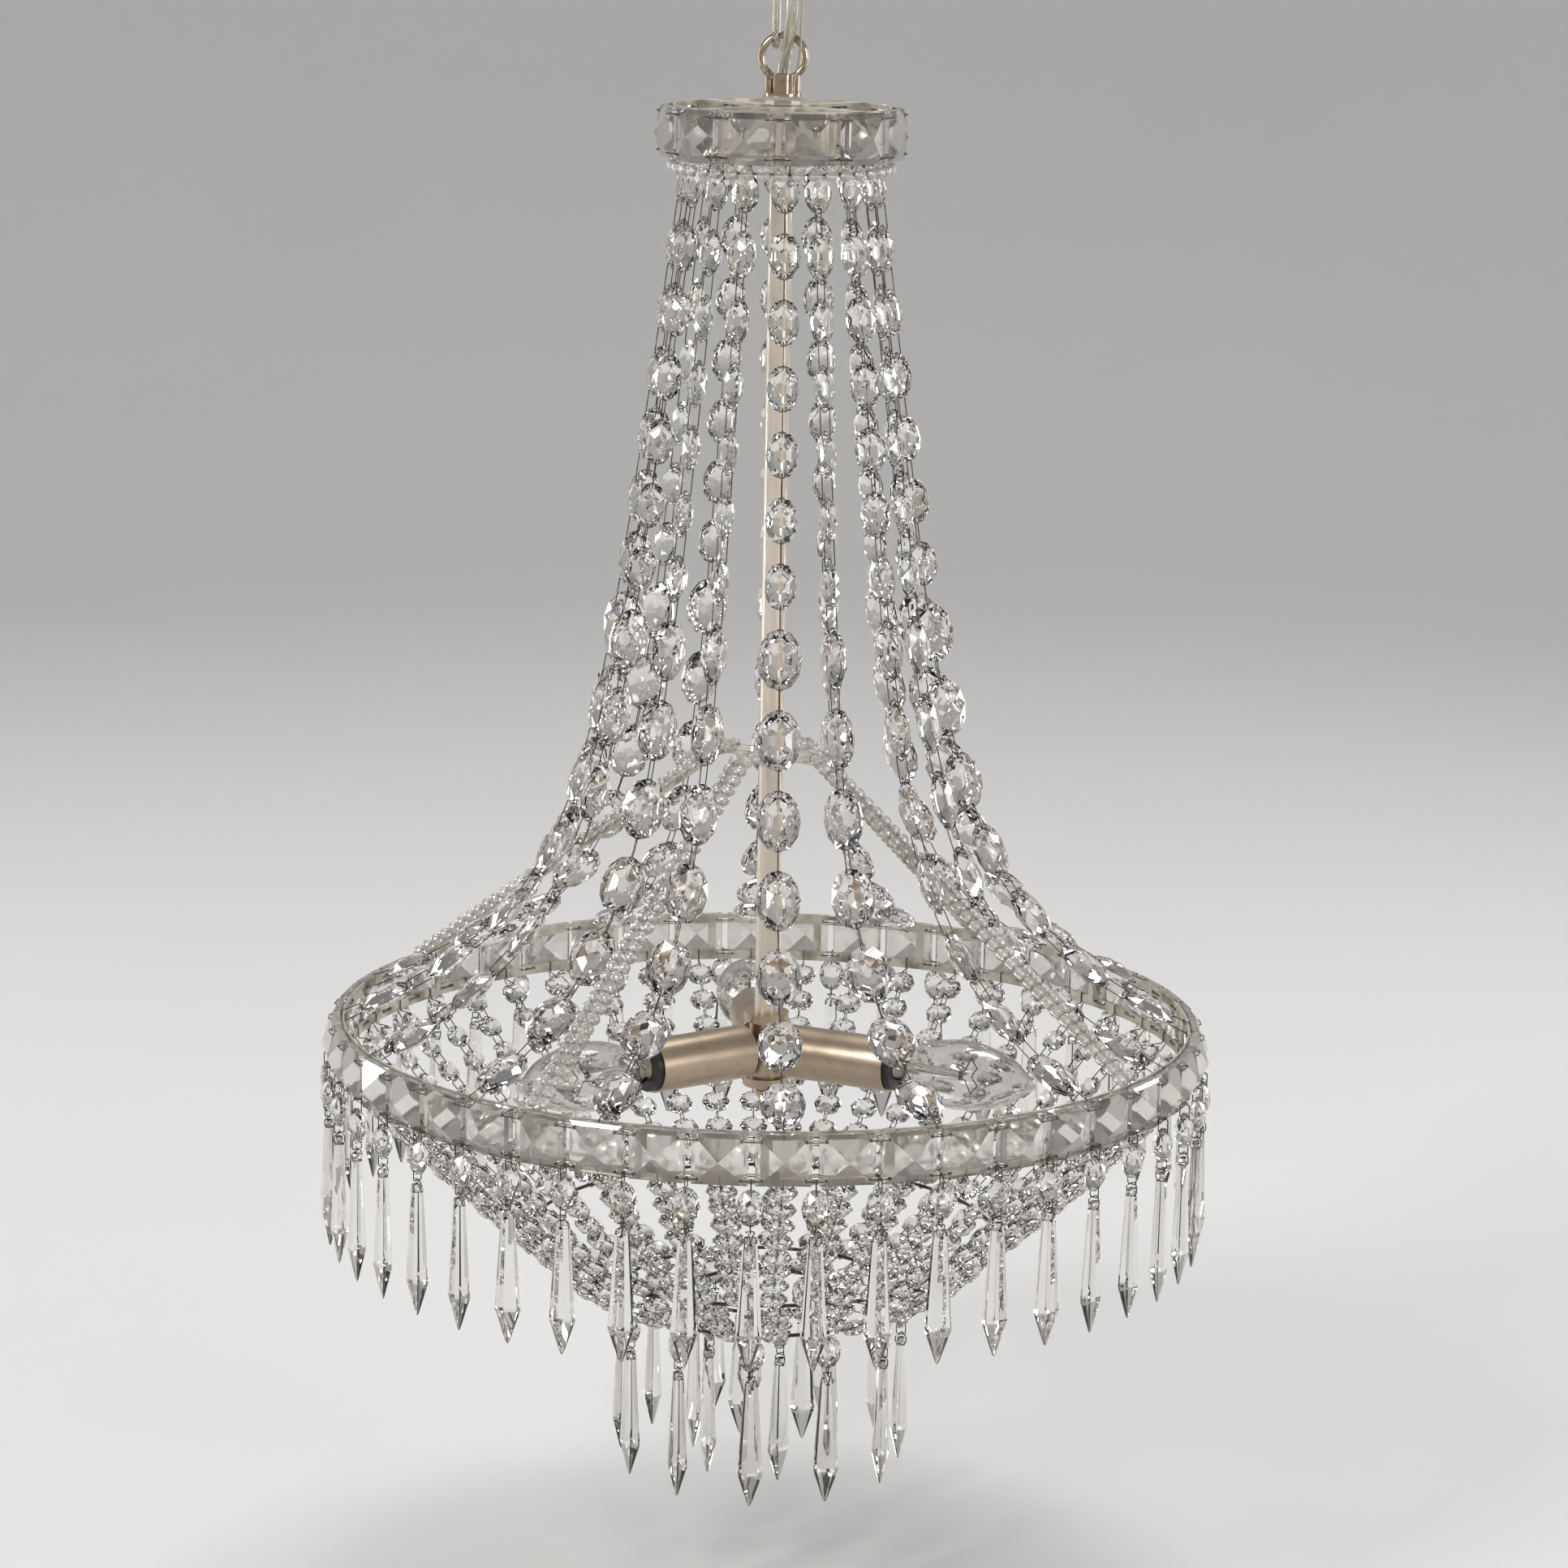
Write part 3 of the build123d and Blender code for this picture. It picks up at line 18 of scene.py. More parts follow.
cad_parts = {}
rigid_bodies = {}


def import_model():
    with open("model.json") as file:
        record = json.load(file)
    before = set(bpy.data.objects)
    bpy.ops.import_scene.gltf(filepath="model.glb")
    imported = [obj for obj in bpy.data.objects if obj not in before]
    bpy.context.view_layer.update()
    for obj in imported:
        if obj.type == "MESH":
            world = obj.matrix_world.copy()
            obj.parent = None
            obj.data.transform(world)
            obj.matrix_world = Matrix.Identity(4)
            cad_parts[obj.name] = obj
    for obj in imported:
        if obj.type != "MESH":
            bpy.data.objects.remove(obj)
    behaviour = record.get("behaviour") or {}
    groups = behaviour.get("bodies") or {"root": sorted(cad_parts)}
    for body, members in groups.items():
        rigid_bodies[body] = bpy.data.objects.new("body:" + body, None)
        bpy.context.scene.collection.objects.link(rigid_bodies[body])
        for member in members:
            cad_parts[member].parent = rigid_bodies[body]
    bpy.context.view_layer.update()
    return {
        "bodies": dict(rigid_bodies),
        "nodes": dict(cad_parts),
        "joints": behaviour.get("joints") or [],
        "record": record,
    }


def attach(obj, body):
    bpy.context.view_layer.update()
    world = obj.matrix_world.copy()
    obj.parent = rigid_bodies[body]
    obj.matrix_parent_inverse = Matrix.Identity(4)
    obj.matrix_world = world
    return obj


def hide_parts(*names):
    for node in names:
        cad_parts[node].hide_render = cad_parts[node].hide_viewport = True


LOG = logging.getLogger("chandelier")
MM = 0.001
WELD_DISTANCE = 1e-7
Colour = tuple[float, float, float]
Place = tuple[float, float, float]
Value = Union["Signal", float, Colour]
Key = Union[str, int]

# Sockets of a Mix node that mixes colours.
MIX_FACTOR, MIX_LOW, MIX_HIGH, MIX_COLOUR = 0, 6, 7, 2


# Shader sockets -------------------------------------------------------------------------------------


@dataclass(frozen=True)
class Patches:
    """Patches on a surface: features per metre, octaves, and the noise at which they begin and are full."""

    scale: float
    detail: float
    low: float
    high: float


@dataclass(frozen=True)
class Grain:
    """Fine noise: features per metre, octaves, relief in metres, its strength, and scale along each axis."""

    scale: float
    detail: float
    depth: float = 0.0
    strength: float = 1.0
    stretch: Place = (1.0, 1.0, 1.0)


class Signal:
    """A number that flows between shader nodes, with arithmetic that adds Math nodes."""

    def __init__(self, shader: Shader, socket: bpy.types.NodeSocket) -> None:
        """Wraps a node's output socket, in the material that it belongs to."""
        self.shader = shader
        self.socket = socket

    def _math(self, operation: str, first: Value, second: Value) -> Signal:
        """Output of one Math node on two values."""
        return self.shader.node("ShaderNodeMath", {"operation": operation}, {0: first, 1: second})

    def __add__(self, other: Value) -> Signal:
        """Sum of two values."""
        return self._math("ADD", self, other)

    def __radd__(self, other: Value) -> Signal:
        """Sum with the value on the right."""
        return self._math("ADD", other, self)

    def __sub__(self, other: Value) -> Signal:
        """Difference of two values."""
        return self._math("SUBTRACT", self, other)

    def __rsub__(self, other: Value) -> Signal:
        """Difference with the value on the right."""
        return self._math("SUBTRACT", other, self)

    def __mul__(self, other: Value) -> Signal:
        """Product of two values."""
        return self._math("MULTIPLY", self, other)

    def __rmul__(self, other: Value) -> Signal:
        """Product with the value on the right."""
        return self._math("MULTIPLY", other, self)


class Shader:
    """A material under construction."""

    def __init__(self, name: str) -> None:
        """Makes an empty material with its output.

        Args:
            name: the material's name.
        """
        self.material = bpy.data.materials.new(name)
        self.material.use_nodes = True
        self.tree = self.material.node_tree
        self.tree.nodes.clear()
        self.output = self.tree.nodes.new("ShaderNodeOutputMaterial")

    def _feed(self, socket: bpy.types.NodeSocket, value: Value) -> None:
        """Links or sets one input.

        Args:
            socket: the input socket.
            value: a Signal, a number, or a colour or vector.
        """
        if isinstance(value, Signal):
            self.tree.links.new(value.socket, socket)
        elif isinstance(value, (tuple, list)) and len(value) == 3 and socket.type == "RGBA":
            socket.default_value = (*value, 1.0)
        else:
            socket.default_value = value

    def node(self, kind: str, settings: dict[str, Any], inputs: dict[Key, Value], out: Key = 0) -> Signal:
        """Any node: its settings first, then its inputs.

        Args:
            kind: the node's type.
            settings: attributes of the node.
            inputs: values or Signals by socket name or number.
            out: name or number of the output that is wanted.

        Returns:
            The wanted output.
        """
        made = self.tree.nodes.new(kind)
        for name, setting in settings.items():
            setattr(made, name, setting)
        for key, value in inputs.items():
            self._feed(made.inputs[key], value)
        return Signal(self, made.outputs[out])

    def coordinates(self) -> Signal:
        """Object coordinates: metres from the point where the loop bears on its hook."""
        return self.node("ShaderNodeTexCoord", {}, {}, "Object")

    def scaled(self, factors: Place) -> Signal:
        """Object coordinates with X, Y and Z each scaled by its factor."""
        return self.node("ShaderNodeVectorMath", {"operation": "MULTIPLY"},
                         {0: self.coordinates(), 1: factors})

    def noise(self, scale: float, detail: float, stretch: Place = (1.0, 1.0, 1.0)) -> Signal:
        """Noise from 0 to 1, with a number of features per metre and octaves, scaled along each axis."""
        return self.node("ShaderNodeTexNoise", {"noise_dimensions": "3D"},
                         {"Vector": self.scaled(stretch), "Scale": scale, "Detail": detail})

    def patches(self, extent: Patches) -> Signal:
        """Noise that is 0 between patches and 1 on them."""
        return self.span(self.noise(extent.scale, extent.detail), extent.low, extent.high)

    def grain(self, grain: Grain) -> Signal:
        """Fine noise of a surface, from 0 to 1."""
        return self.noise(grain.scale, grain.detail, grain.stretch)

    def relief(self, grain: Grain, height: Signal) -> Signal:
        """Surface normal from a height of 0 to 1, as deep and as strong as the grain says."""
        return self.node("ShaderNodeBump", {},
                         {"Height": height, "Distance": grain.depth, "Strength": grain.strength})

    def mix(self, factor: Value, low: Value, high: Value) -> Signal:
        """Blend of two colours, where a factor of 0 gives low and 1 gives high."""
        return self.node("ShaderNodeMix", {"data_type": "RGBA"},
                         {MIX_FACTOR: factor, MIX_LOW: low, MIX_HIGH: high}, MIX_COLOUR)

    def span(self, signal: Signal, low: float, high: float) -> Signal:
        """Maps a signal's range from low to high onto 0 to 1, clamped."""
        return self.node("ShaderNodeMapRange", {"clamp": True},
                         {"Value": signal, "From Min": low, "From Max": high})

    def principled(self, **inputs: Value) -> bpy.types.Material:
        """Closes the material with a Principled shader.

        Args:
            **inputs: its sockets, with underscores for spaces.

        Returns:
            The finished material.
        """
        surface = self.node("ShaderNodeBsdfPrincipled", {},
                            {key.replace("_", " "): value for key, value in inputs.items()})
        return self.closed(surface)

    def closed(self, surface: Signal) -> bpy.types.Material:
        """Closes the material with the output of any shader node."""
        self.tree.links.new(surface.socket, self.output.inputs["Surface"])
        return self.material


# Finishes -------------------------------------------------------------------------------------------


@dataclass(frozen=True)
class CutCrystal:
    """Clear cut lead crystal with a faint warm grey and a little handling haze."""

    name: str
    clear: Colour = (0.96, 0.95, 0.925)
    tinted: Colour = (0.885, 0.865, 0.825)
    ior: float = 1.68
    polish: float = 0.0
    haze: float = 0.03
    body: float = 1.0
    coat: float = 0.0
    coat_polish: float = 0.02
    smudge: Patches = Patches(160.0, 4.0, 0.5, 0.72)
    tone: Patches = Patches(38.0, 1.0, 0.35, 0.65)

    def colour(self, s: Shader) -> Signal:
        """Colour of the glass in the material under construction, clear and tinted in turns."""
        return s.mix(s.patches(self.tone), self.clear, self.tinted)

    def material(self) -> bpy.types.Material:
        """The finish as a material.

        Returns:
            The material.
        """
        s = Shader(self.name)
        smudge = s.patches(self.smudge)
        return s.principled(
            Base_Color=self.colour(s), Roughness=self.polish + smudge * self.haze, IOR=self.ior,
            Transmission_Weight=self.body, Coat_Weight=self.coat, Coat_Roughness=self.coat_polish)


@dataclass(frozen=True)
class SquareCrystal(CutCrystal):
    """Square crystal with painted shade on the facets above and below its point, standing in for the
    darkness that its inner reflections show.

    A facet counts as one of these where the upright share of its direction lies between the two ends.
    """

    # Painted shade: the colour laid on the facets that lean up or down, in place of their inner reflections.
    shaded: Colour = (0.53, 0.505, 0.465)
    facet_begins: tuple[float, float] = (0.15, 0.25)
    facet_ends: tuple[float, float] = (0.7, 0.8)

    def colour(self, s: Shader) -> Signal:
        """Colour of the glass, with painted shade on the facets that lean up or down.

        Args:
            s: the material under construction.

        Returns:
            The base colour.
        """
        normal = s.node("ShaderNodeTexCoord", {}, {}, "Normal")
        rise = s.node("ShaderNodeSeparateXYZ", {}, {"Vector": normal}, "Z")
        lean = s.node("ShaderNodeMath", {"operation": "ABSOLUTE"}, {0: rise})
        # Mask of the facets that get the painted shade.
        facet = s.span(lean, *self.facet_begins) * (1 - s.span(lean, *self.facet_ends))
        return s.mix(facet, super().colour(s), self.shaded)


@dataclass(frozen=True)
class AgedPlate:
    """Cream-silver plated strip, dulled and dirty in patches."""

    name: str = "aged_plate"
    bright: Colour = (0.80, 0.76, 0.67)
    dirty: Colour = (0.27, 0.22, 0.16)
    metallic: float = 0.65
    roughness: float = 0.3
    dulling: float = 0.35
    patches: Patches = Patches(90.0, 5.0, 0.45, 0.68)
    patch_share: float = 0.75
    grain: Grain = Grain(1400.0, 2.0, 0.05 * MM, 0.5)
    grain_share: float = 0.15

    def material(self) -> bpy.types.Material:
        """The finish as a material.

        Returns:
            The material.
        """
        s = Shader(self.name)
        patches = s.patches(self.patches)
        grain = s.grain(self.grain)
        dirt = patches * self.patch_share + grain * self.grain_share
        return s.principled(
            Base_Color=s.mix(dirt, self.bright, self.dirty), Metallic=self.metallic,
            Roughness=self.roughness + dirt * self.dulling, Normal=s.relief(self.grain, grain))


@dataclass(frozen=True)
class AgedWire:
    """Dark brown tie wire."""

    name: str = "aged_wire"
    dark: Colour = (0.075, 0.052, 0.036)
    worn: Colour = (0.24, 0.18, 0.12)
    metallic: float = 0.8
    roughness: float = 0.5
    rubbing: float = 0.2
    wear: Patches = Patches(420.0, 3.0, 0.5, 0.7)

    def material(self) -> bpy.types.Material:
        """The finish as a material.

        Returns:
            The material.
        """
        s = Shader(self.name)
        wear = s.patches(self.wear)
        return s.principled(
            Base_Color=s.mix(wear, self.dark, self.worn), Metallic=self.metallic,
            Roughness=self.roughness - wear * self.rubbing)


@dataclass(frozen=True)
class SatinTube:
    """Pale champagne tube, drawn lengthwise."""

    name: str = "satin_tube"
    pale: Colour = (0.94, 0.86, 0.755)
    deep: Colour = (0.81, 0.70, 0.575)
    metallic: float = 0.6
    roughness: float = 0.24
    streak: float = 0.12
    drawn: Grain = Grain(900.0, 2.0, 0.03 * MM, 0.4, (1.0, 1.0, 0.02))
    drawn_share: float = 0.3
    cloud: Patches = Patches(30.0, 3.0, 0.35, 0.7)
    cloud_share: float = 0.6

    def material(self) -> bpy.types.Material:
        """The finish as a material.

        Returns:
            The material.
        """
        s = Shader(self.name)
        drawn = s.grain(self.drawn)
        depth = s.patches(self.cloud) * self.cloud_share + drawn * self.drawn_share
        return s.principled(
            Base_Color=s.mix(depth, self.pale, self.deep), Metallic=self.metallic,
            Roughness=self.roughness + drawn * self.streak, Normal=s.relief(self.drawn, drawn))


@dataclass(frozen=True)
class BrushedCover:
    """Champagne-brown socket cover, brushed round its axis."""

    name: str = "brushed_cover"
    light: Colour = (0.61, 0.495, 0.375)
    dark: Colour = (0.39, 0.305, 0.225)
    roughness: float = 0.26
    brushing: float = 0.16
    rings: Grain = Grain(2600.0, 2.0, 0.03 * MM, 0.35)
    ring_share: float = 0.5
    stain: Patches = Patches(120.0, 4.0, 0.45, 0.75)
    stain_share: float = 0.4

    def material(self) -> bpy.types.Material:
        """The finish as a material.

        Returns:
            The material.
        """
        s = Shader(self.name)
        flat = s.scaled((1.0, 1.0, 0.0))
        outward = s.node("ShaderNodeVectorMath", {"operation": "LENGTH"}, {0: flat}, "Value")
        rings = s.node("ShaderNodeTexNoise", {"noise_dimensions": "1D"},
                       {"W": outward, "Scale": self.rings.scale, "Detail": self.rings.detail})
        stain = s.patches(self.stain)
        return s.principled(
            Base_Color=s.mix(rings * self.ring_share + stain * self.stain_share, self.light, self.dark),
            Metallic=1.0, Roughness=self.roughness + rings * self.brushing,
            Normal=s.relief(self.rings, rings))


@dataclass(frozen=True)
class CastNickel:
    """Polished bronze-nickel casting of the loop and its nuts."""

    name: str = "cast_nickel"
    high: Colour = (0.57, 0.455, 0.34)
    low: Colour = (0.19, 0.14, 0.10)
    roughness: float = 0.16
    dulling: float = 0.3
    tarnish: Patches = Patches(240.0, 4.0, 0.5, 0.8)
    cast: Grain = Grain(700.0, 2.0, 0.03 * MM, 0.4)

    def material(self) -> bpy.types.Material:
        """The finish as a material.

        Returns:
            The material.
        """
        s = Shader(self.name)
        tarnish = s.patches(self.tarnish)
        return s.principled(
            Base_Color=s.mix(tarnish, self.high, self.low), Metallic=1.0,
            Roughness=self.roughness + tarnish * self.dulling,
            Normal=s.relief(self.cast, s.grain(self.cast)))


@dataclass(frozen=True)
class BlackMoulding:
    """Black moulded insert of the sockets."""

    name: str = "black_moulding"
    colour: Colour = (0.014, 0.013, 0.012)
    dusty: Colour = (0.06, 0.055, 0.05)
    roughness: float = 0.35
    dulling: float = 0.3
    dust: Patches = Patches(300.0, 4.0, 0.5, 0.8)
    grain: Grain = Grain(1800.0, 2.0, 0.03 * MM, 0.5)

    def material(self) -> bpy.types.Material:
        """The finish as a material.

        Returns:
            The material.
        """
        s = Shader(self.name)
        dust = s.patches(self.dust)
        return s.principled(
            Base_Color=s.mix(dust, self.colour, self.dusty), Roughness=self.roughness + dust * self.dulling,
            Normal=s.relief(self.grain, s.grain(self.grain)))


@dataclass(frozen=True)
class BlownGlass:
    """Thin clear glass of the bulbs."""

    name: str = "blown_glass"
    tint: Colour = (0.84, 0.83, 0.81)
    dusty: Colour = (0.75, 0.735, 0.705)
    ior: float = 1.47
    haze: float = 0.04
    dust: Patches = Patches(120.0, 4.0, 0.5, 0.8)

    def material(self) -> bpy.types.Material:
        """The finish as a material.

        Returns:
            The material.
        """
        s = Shader(self.name)
        dust = s.patches(self.dust)
        return s.principled(
            Base_Color=s.mix(dust, self.tint, self.dusty), Roughness=dust * self.haze, IOR=self.ior,
            Transmission_Weight=1.0)


@dataclass(frozen=True)
class PlainMetal:
    """Small metal parts: filament, screw shell, conductors and the bare ground wire."""

    name: str
    bright: Colour
    dull: Colour
    roughness: float
    dulling: float = 0.15
    wear: Grain = Grain(500.0, 3.0)

    def material(self) -> bpy.types.Material:
        """The finish as a material.

        Returns:
            The material.
        """
        s = Shader(self.name)
        wear = s.grain(self.wear)
        return s.principled(
            Base_Color=s.mix(wear, self.bright, self.dull), Metallic=1.0,
            Roughness=self.roughness + wear * self.dulling)


@dataclass(frozen=True)
class ClearSheath:
    """Clear flexible sheath of the cords, yellowed a little."""

    name: str = "clear_sheath"
    clear: Colour = (0.97, 0.96, 0.90)
    yellowed: Colour = (0.86, 0.82, 0.68)
    ior: float = 1.48
    roughness: float = 0.08
    dulling: float = 0.1
    age: Patches = Patches(60.0, 2.0, 0.4, 0.7)

    def material(self) -> bpy.types.Material:
        """The finish as a material.

        Returns:
            The material.
        """
        s = Shader(self.name)
        age = s.patches(self.age)
        return s.principled(
            Base_Color=s.mix(age, self.clear, self.yellowed), Roughness=self.roughness + age * self.dulling,
            IOR=self.ior, Transmission_Weight=1.0)


@dataclass(frozen=True)
class SatinWhite:
    """Satin white of the ceiling fitting."""

    name: str = "satin_white"
    white: Colour = (0.78, 0.77, 0.74)
    grey: Colour = (0.68, 0.66, 0.62)
    roughness: float = 0.42
    cloud: Grain = Grain(50.0, 4.0)
    grain: Grain = Grain(900.0, 2.0, 0.03 * MM, 0.4)

    def material(self) -> bpy.types.Material:
        """The finish as a material.

        Returns:
            The material.
        """
        s = Shader(self.name)
        return s.principled(
            Base_Color=s.mix(s.grain(self.cloud), self.white, self.grey), Roughness=self.roughness,
            Normal=s.relief(self.grain, s.grain(self.grain)))


@dataclass
class Finishes:
    """Every finish of the chandelier, made once."""

    crystal: bpy.types.Material
    rose: bpy.types.Material
    pressed: bpy.types.Material
    clouded: bpy.types.Material
    smoky: bpy.types.Material
    plate: bpy.types.Material
    wire: bpy.types.Material
    tube: bpy.types.Material
    cover: bpy.types.Material
    loop: bpy.types.Material
    black: bpy.types.Material
    glass: bpy.types.Material
    filament: bpy.types.Material
    shell: bpy.types.Material
    strands: bpy.types.Material
    copper: bpy.types.Material
    sheath: bpy.types.Material
    white: bpy.types.Material

    @classmethod
    def make(cls) -> Finishes:
        """Builds all materials.

        Returns:
            The set of finishes.
        """
        return cls(
            crystal=CutCrystal("cut_crystal").material(),
            rose=CutCrystal("rose_crystal", (0.96, 0.935, 0.92), (0.88, 0.84, 0.815)).material(),
            pressed=CutCrystal("pressed_crystal", (0.97, 0.96, 0.935), (0.88, 0.865, 0.82), ior=1.56,
                               polish=0.03, haze=0.12, body=0.78).material(),
            # Both square crystals get painted shade on the facets above and below their points, the smoky
            # one darker.
            clouded=SquareCrystal("clouded_crystal", (0.93, 0.905, 0.86), (0.83, 0.80, 0.745), ior=1.64,
                                  polish=0.04, haze=0.07, body=0.90, coat=1.0).material(),
            smoky=SquareCrystal("smoky_crystal", (0.92, 0.90, 0.865), (0.80, 0.77, 0.725), ior=1.64,
                                polish=0.02, haze=0.06, body=0.91, coat=1.0,
                                shaded=(0.40, 0.385, 0.36)).material(),
            plate=AgedPlate().material(), wire=AgedWire().material(),
            tube=SatinTube().material(), cover=BrushedCover().material(), loop=CastNickel().material(),
            black=BlackMoulding().material(), glass=BlownGlass().material(),
            filament=PlainMetal("filament_wire", (0.35, 0.33, 0.30), (0.18, 0.17, 0.16),
                                roughness=0.4).material(),
            shell=PlainMetal("screw_shell", (0.78, 0.74, 0.66), (0.58, 0.52, 0.42),
                             roughness=0.25).material(),
            strands=PlainMetal("tinned_strands", (0.88, 0.87, 0.83), (0.62, 0.59, 0.50),
                               roughness=0.25).material(),
            copper=PlainMetal("tinned_copper", (0.66, 0.62, 0.54), (0.40, 0.36, 0.27),
                              roughness=0.35).material(),
            sheath=ClearSheath().material(), white=SatinWhite().material())


# Pieces ---------------------------------------------------------------------------------------------


class Slot(Enum):
    """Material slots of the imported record."""

    CRYSTAL = "crystal"
    WIRE = "wire_metal"
    BULB = "bulb_glass"
    CORD = "cord"
    COPPER = "copper"


def new_piece(name: str, mesh: bpy.types.Mesh, material: bpy.types.Material, body: str) -> bpy.types.Object:
    """Puts a mesh in the scene on a body.

    Args:
        name: the piece's name.
        mesh: its mesh, in metres from the object's origin.
        material: its finish.
        body: the CAD body that it rides on.

    Returns:
        The new object.
    """
    mesh.materials.clear()
    mesh.materials.append(material)
    piece = bpy.data.objects.new(name, mesh)
    bpy.context.scene.collection.objects.link(piece)
    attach(piece, body)
    LOG.info("%s rides on %s", name, body)
    return piece


def dress(frame: dict[str, Any], material: bpy.types.Material, nodes: Iterable[str]) -> None:
    """Gives CAD nodes a finish.

    Args:
        frame: the loaded frame.
        material: the finish.
        nodes: names of the nodes.
    """
    for name in nodes:
        node = frame["nodes"][name]
        for slot in node.material_slots:
            slot.link = "OBJECT"
            slot.material = material
        LOG.info("%s is dressed in %s", name, material.name)


def connected(work: bmesh.types.BMesh) -> list[set[int]]:
    """Finds the loose pieces of a mesh.

    Args:
        work: the mesh.

    Returns:
        The numbers of each piece's vertices.
    """
    seen: set[int] = set()
    groups: list[set[int]] = []
    for start in work.verts:
        if start.index in seen:
            continue
        group, front = {start.index}, [start]
        while front:
            for edge in front.pop().link_edges:
                for vert in edge.verts:
                    if vert.index not in group:
                        group.add(vert.index)
                        front.append(vert)
        seen |= group
        groups.append(group)
    return groups


def islands(node: bpy.types.Object) -> list[bpy.types.Mesh]:
    """Copies a node's mesh into one mesh for each of its loose pieces, seams welded.

    Args:
        node: the CAD node.

    Returns:
        The meshes, longest first.
    """
    whole = bmesh.new()
    whole.from_mesh(node.data)
    bmesh.ops.remove_doubles(whole, verts=whole.verts, dist=WELD_DISTANCE)
    whole.verts.ensure_lookup_table()
    found: list[bpy.types.Mesh] = []
    for group in connected(whole):
        part = whole.copy()
        part.verts.ensure_lookup_table()
        bmesh.ops.delete(part, geom=[v for v in part.verts if v.index not in group], context="VERTS")
        mesh = bpy.data.meshes.new(f"{node.name}_part")
        part.to_mesh(mesh)
        part.free()
        stored = mesh.attributes.get("custom_normal")
        if stored:
            mesh.attributes.remove(stored)
        found.append(mesh)
    whole.free()
    return sorted(found, key=span_of, reverse=True)


def span_of(mesh: bpy.types.Mesh) -> float:
    """Longest side of a mesh's box."""
    places = [v.co for v in mesh.vertices]
    return max(max(p[k] for p in places) - min(p[k] for p in places) for k in range(3))


def joined(name: str, meshes: Sequence[bpy.types.Mesh]) -> bpy.types.Mesh:
    """One mesh of several.

    Args:
        name: the new mesh's name.
        meshes: the meshes to join.

    Returns:
        The joined mesh.
    """
    work = bmesh.new()
    for mesh in meshes:
        work.from_mesh(mesh)
    made = bpy.data.meshes.new(name)
    work.to_mesh(made)
    work.free()
    return made


def smoothed(mesh: bpy.types.Mesh, degrees: float) -> bpy.types.Mesh:
    """Shades a mesh smooth, with edges sharper than an angle kept.

    Args:
        mesh: the mesh to shade.
        degrees: the angle.

    Returns:
        The same mesh.
    """
    work = bmesh.new()
    work.from_mesh(mesh)
    limit = math.radians(degrees)
    for face in work.faces:
        face.smooth = True
    for edge in work.edges:
        edge.smooth = len(edge.link_faces) == 2 and edge.calc_face_angle(0.0) < limit
    work.to_mesh(mesh)
    work.free()
    return mesh


# Cords ----------------------------------------------------------------------------------------------


@dataclass
class Route:
    """A cord's line: a NURBS spline with control points, in millimetres."""

    node: str
    points: Sequence[Place]
    round_steps: int = 5
    line_steps: int = 24
    strand_sides: int = 8
    strand_angle: float = 50.0

    @property
    def name(self) -> str:
        """Name of the cord's piece."""
        return f"{self.node}_run"

    def curve(self, radius: float) -> bpy.types.Object:
        """A round tube along the line.

        Args:
            radius: its radius in metres, or 0 for the bare line.

        Returns:
            The curve object, in the scene.
        """
        data = bpy.data.curves.new(self.name, "CURVE")
        data.dimensions = "3D"
        data.bevel_depth = radius
        data.bevel_resolution = self.round_steps
        data.resolution_u = self.line_steps
        data.use_fill_caps = True
        spline = data.splines.new("NURBS")
        spline.points.add(len(self.points) - 1)
        for target, place in zip(spline.points, self.points):
            target.co = (*(value * MM for value in place), 1.0)
        spline.order_u = 3
        spline.use_endpoint_u = True
        piece = bpy.data.objects.new(self.name, data)
        bpy.context.scene.collection.objects.link(piece)
        return piece

    def line(self) -> list[Vector]:
        """Points read from the smooth line.

        Returns:
            The points, from the first end to the last.
        """
        bare = self.curve(0.0)
        mesh = bpy.data.meshes.new_from_object(bare)
        places = [v.co.copy() for v in mesh.vertices]
        bpy.data.objects.remove(bare)
        return places

    def strand(self, name: str, offset: float, angle: float, twist: float, radius: float) -> bpy.types.Mesh:
        """A wire that winds round the line.

        Args:
            name: the mesh's name.
            offset: its distance from the line, in metres.
            angle: where it starts round the line, in radians.
            twist: radians that it turns per metre.
            radius: its own radius in metres.

        Returns:
            The strand's mesh.
        """
        places = self.line()
        turns = [2 * math.pi * j / self.strand_sides for j in range(self.strand_sides)]
        work = bmesh.new()
        across = Vector((1.0, 0.0, 0.0))
        walked = 0.0
        rings: list[list[bmesh.types.BMVert]] = []
        for k, place in enumerate(places):
            ahead = places[min(k + 1, len(places) - 1)] - places[max(k - 1, 0)]
            along = ahead.normalized()
            across = (across - along * across.dot(along)).normalized()
            over = along.cross(across)
            if k:
                walked += (place - places[k - 1]).length
            turn = angle + twist * walked
            middle = place + (across * math.cos(turn) + over * math.sin(turn)) * offset
            rings.append([
                work.verts.new(middle + (across * math.cos(a) + over * math.sin(a)) * radius) for a in turns
            ])
        for low, high in zip(rings, rings[1:]):
            for j in range(len(turns)):
                i = (j + 1) % len(turns)
                work.faces.new((low[j], low[i], high[i], high[j]))
        work.faces.new(rings[0][::-1])
        work.faces.new(rings[-1])
        mesh = bpy.data.meshes.new(name)
        work.to_mesh(mesh)
        work.free()
        return smoothed(mesh, self.strand_angle)


@dataclass(frozen=True)
class Lay:
    """How wires lie inside a cord: number, millimetres off its line, radians per metre, diameter."""

    count: int
    offset: float
    twist: float
    diameter: float


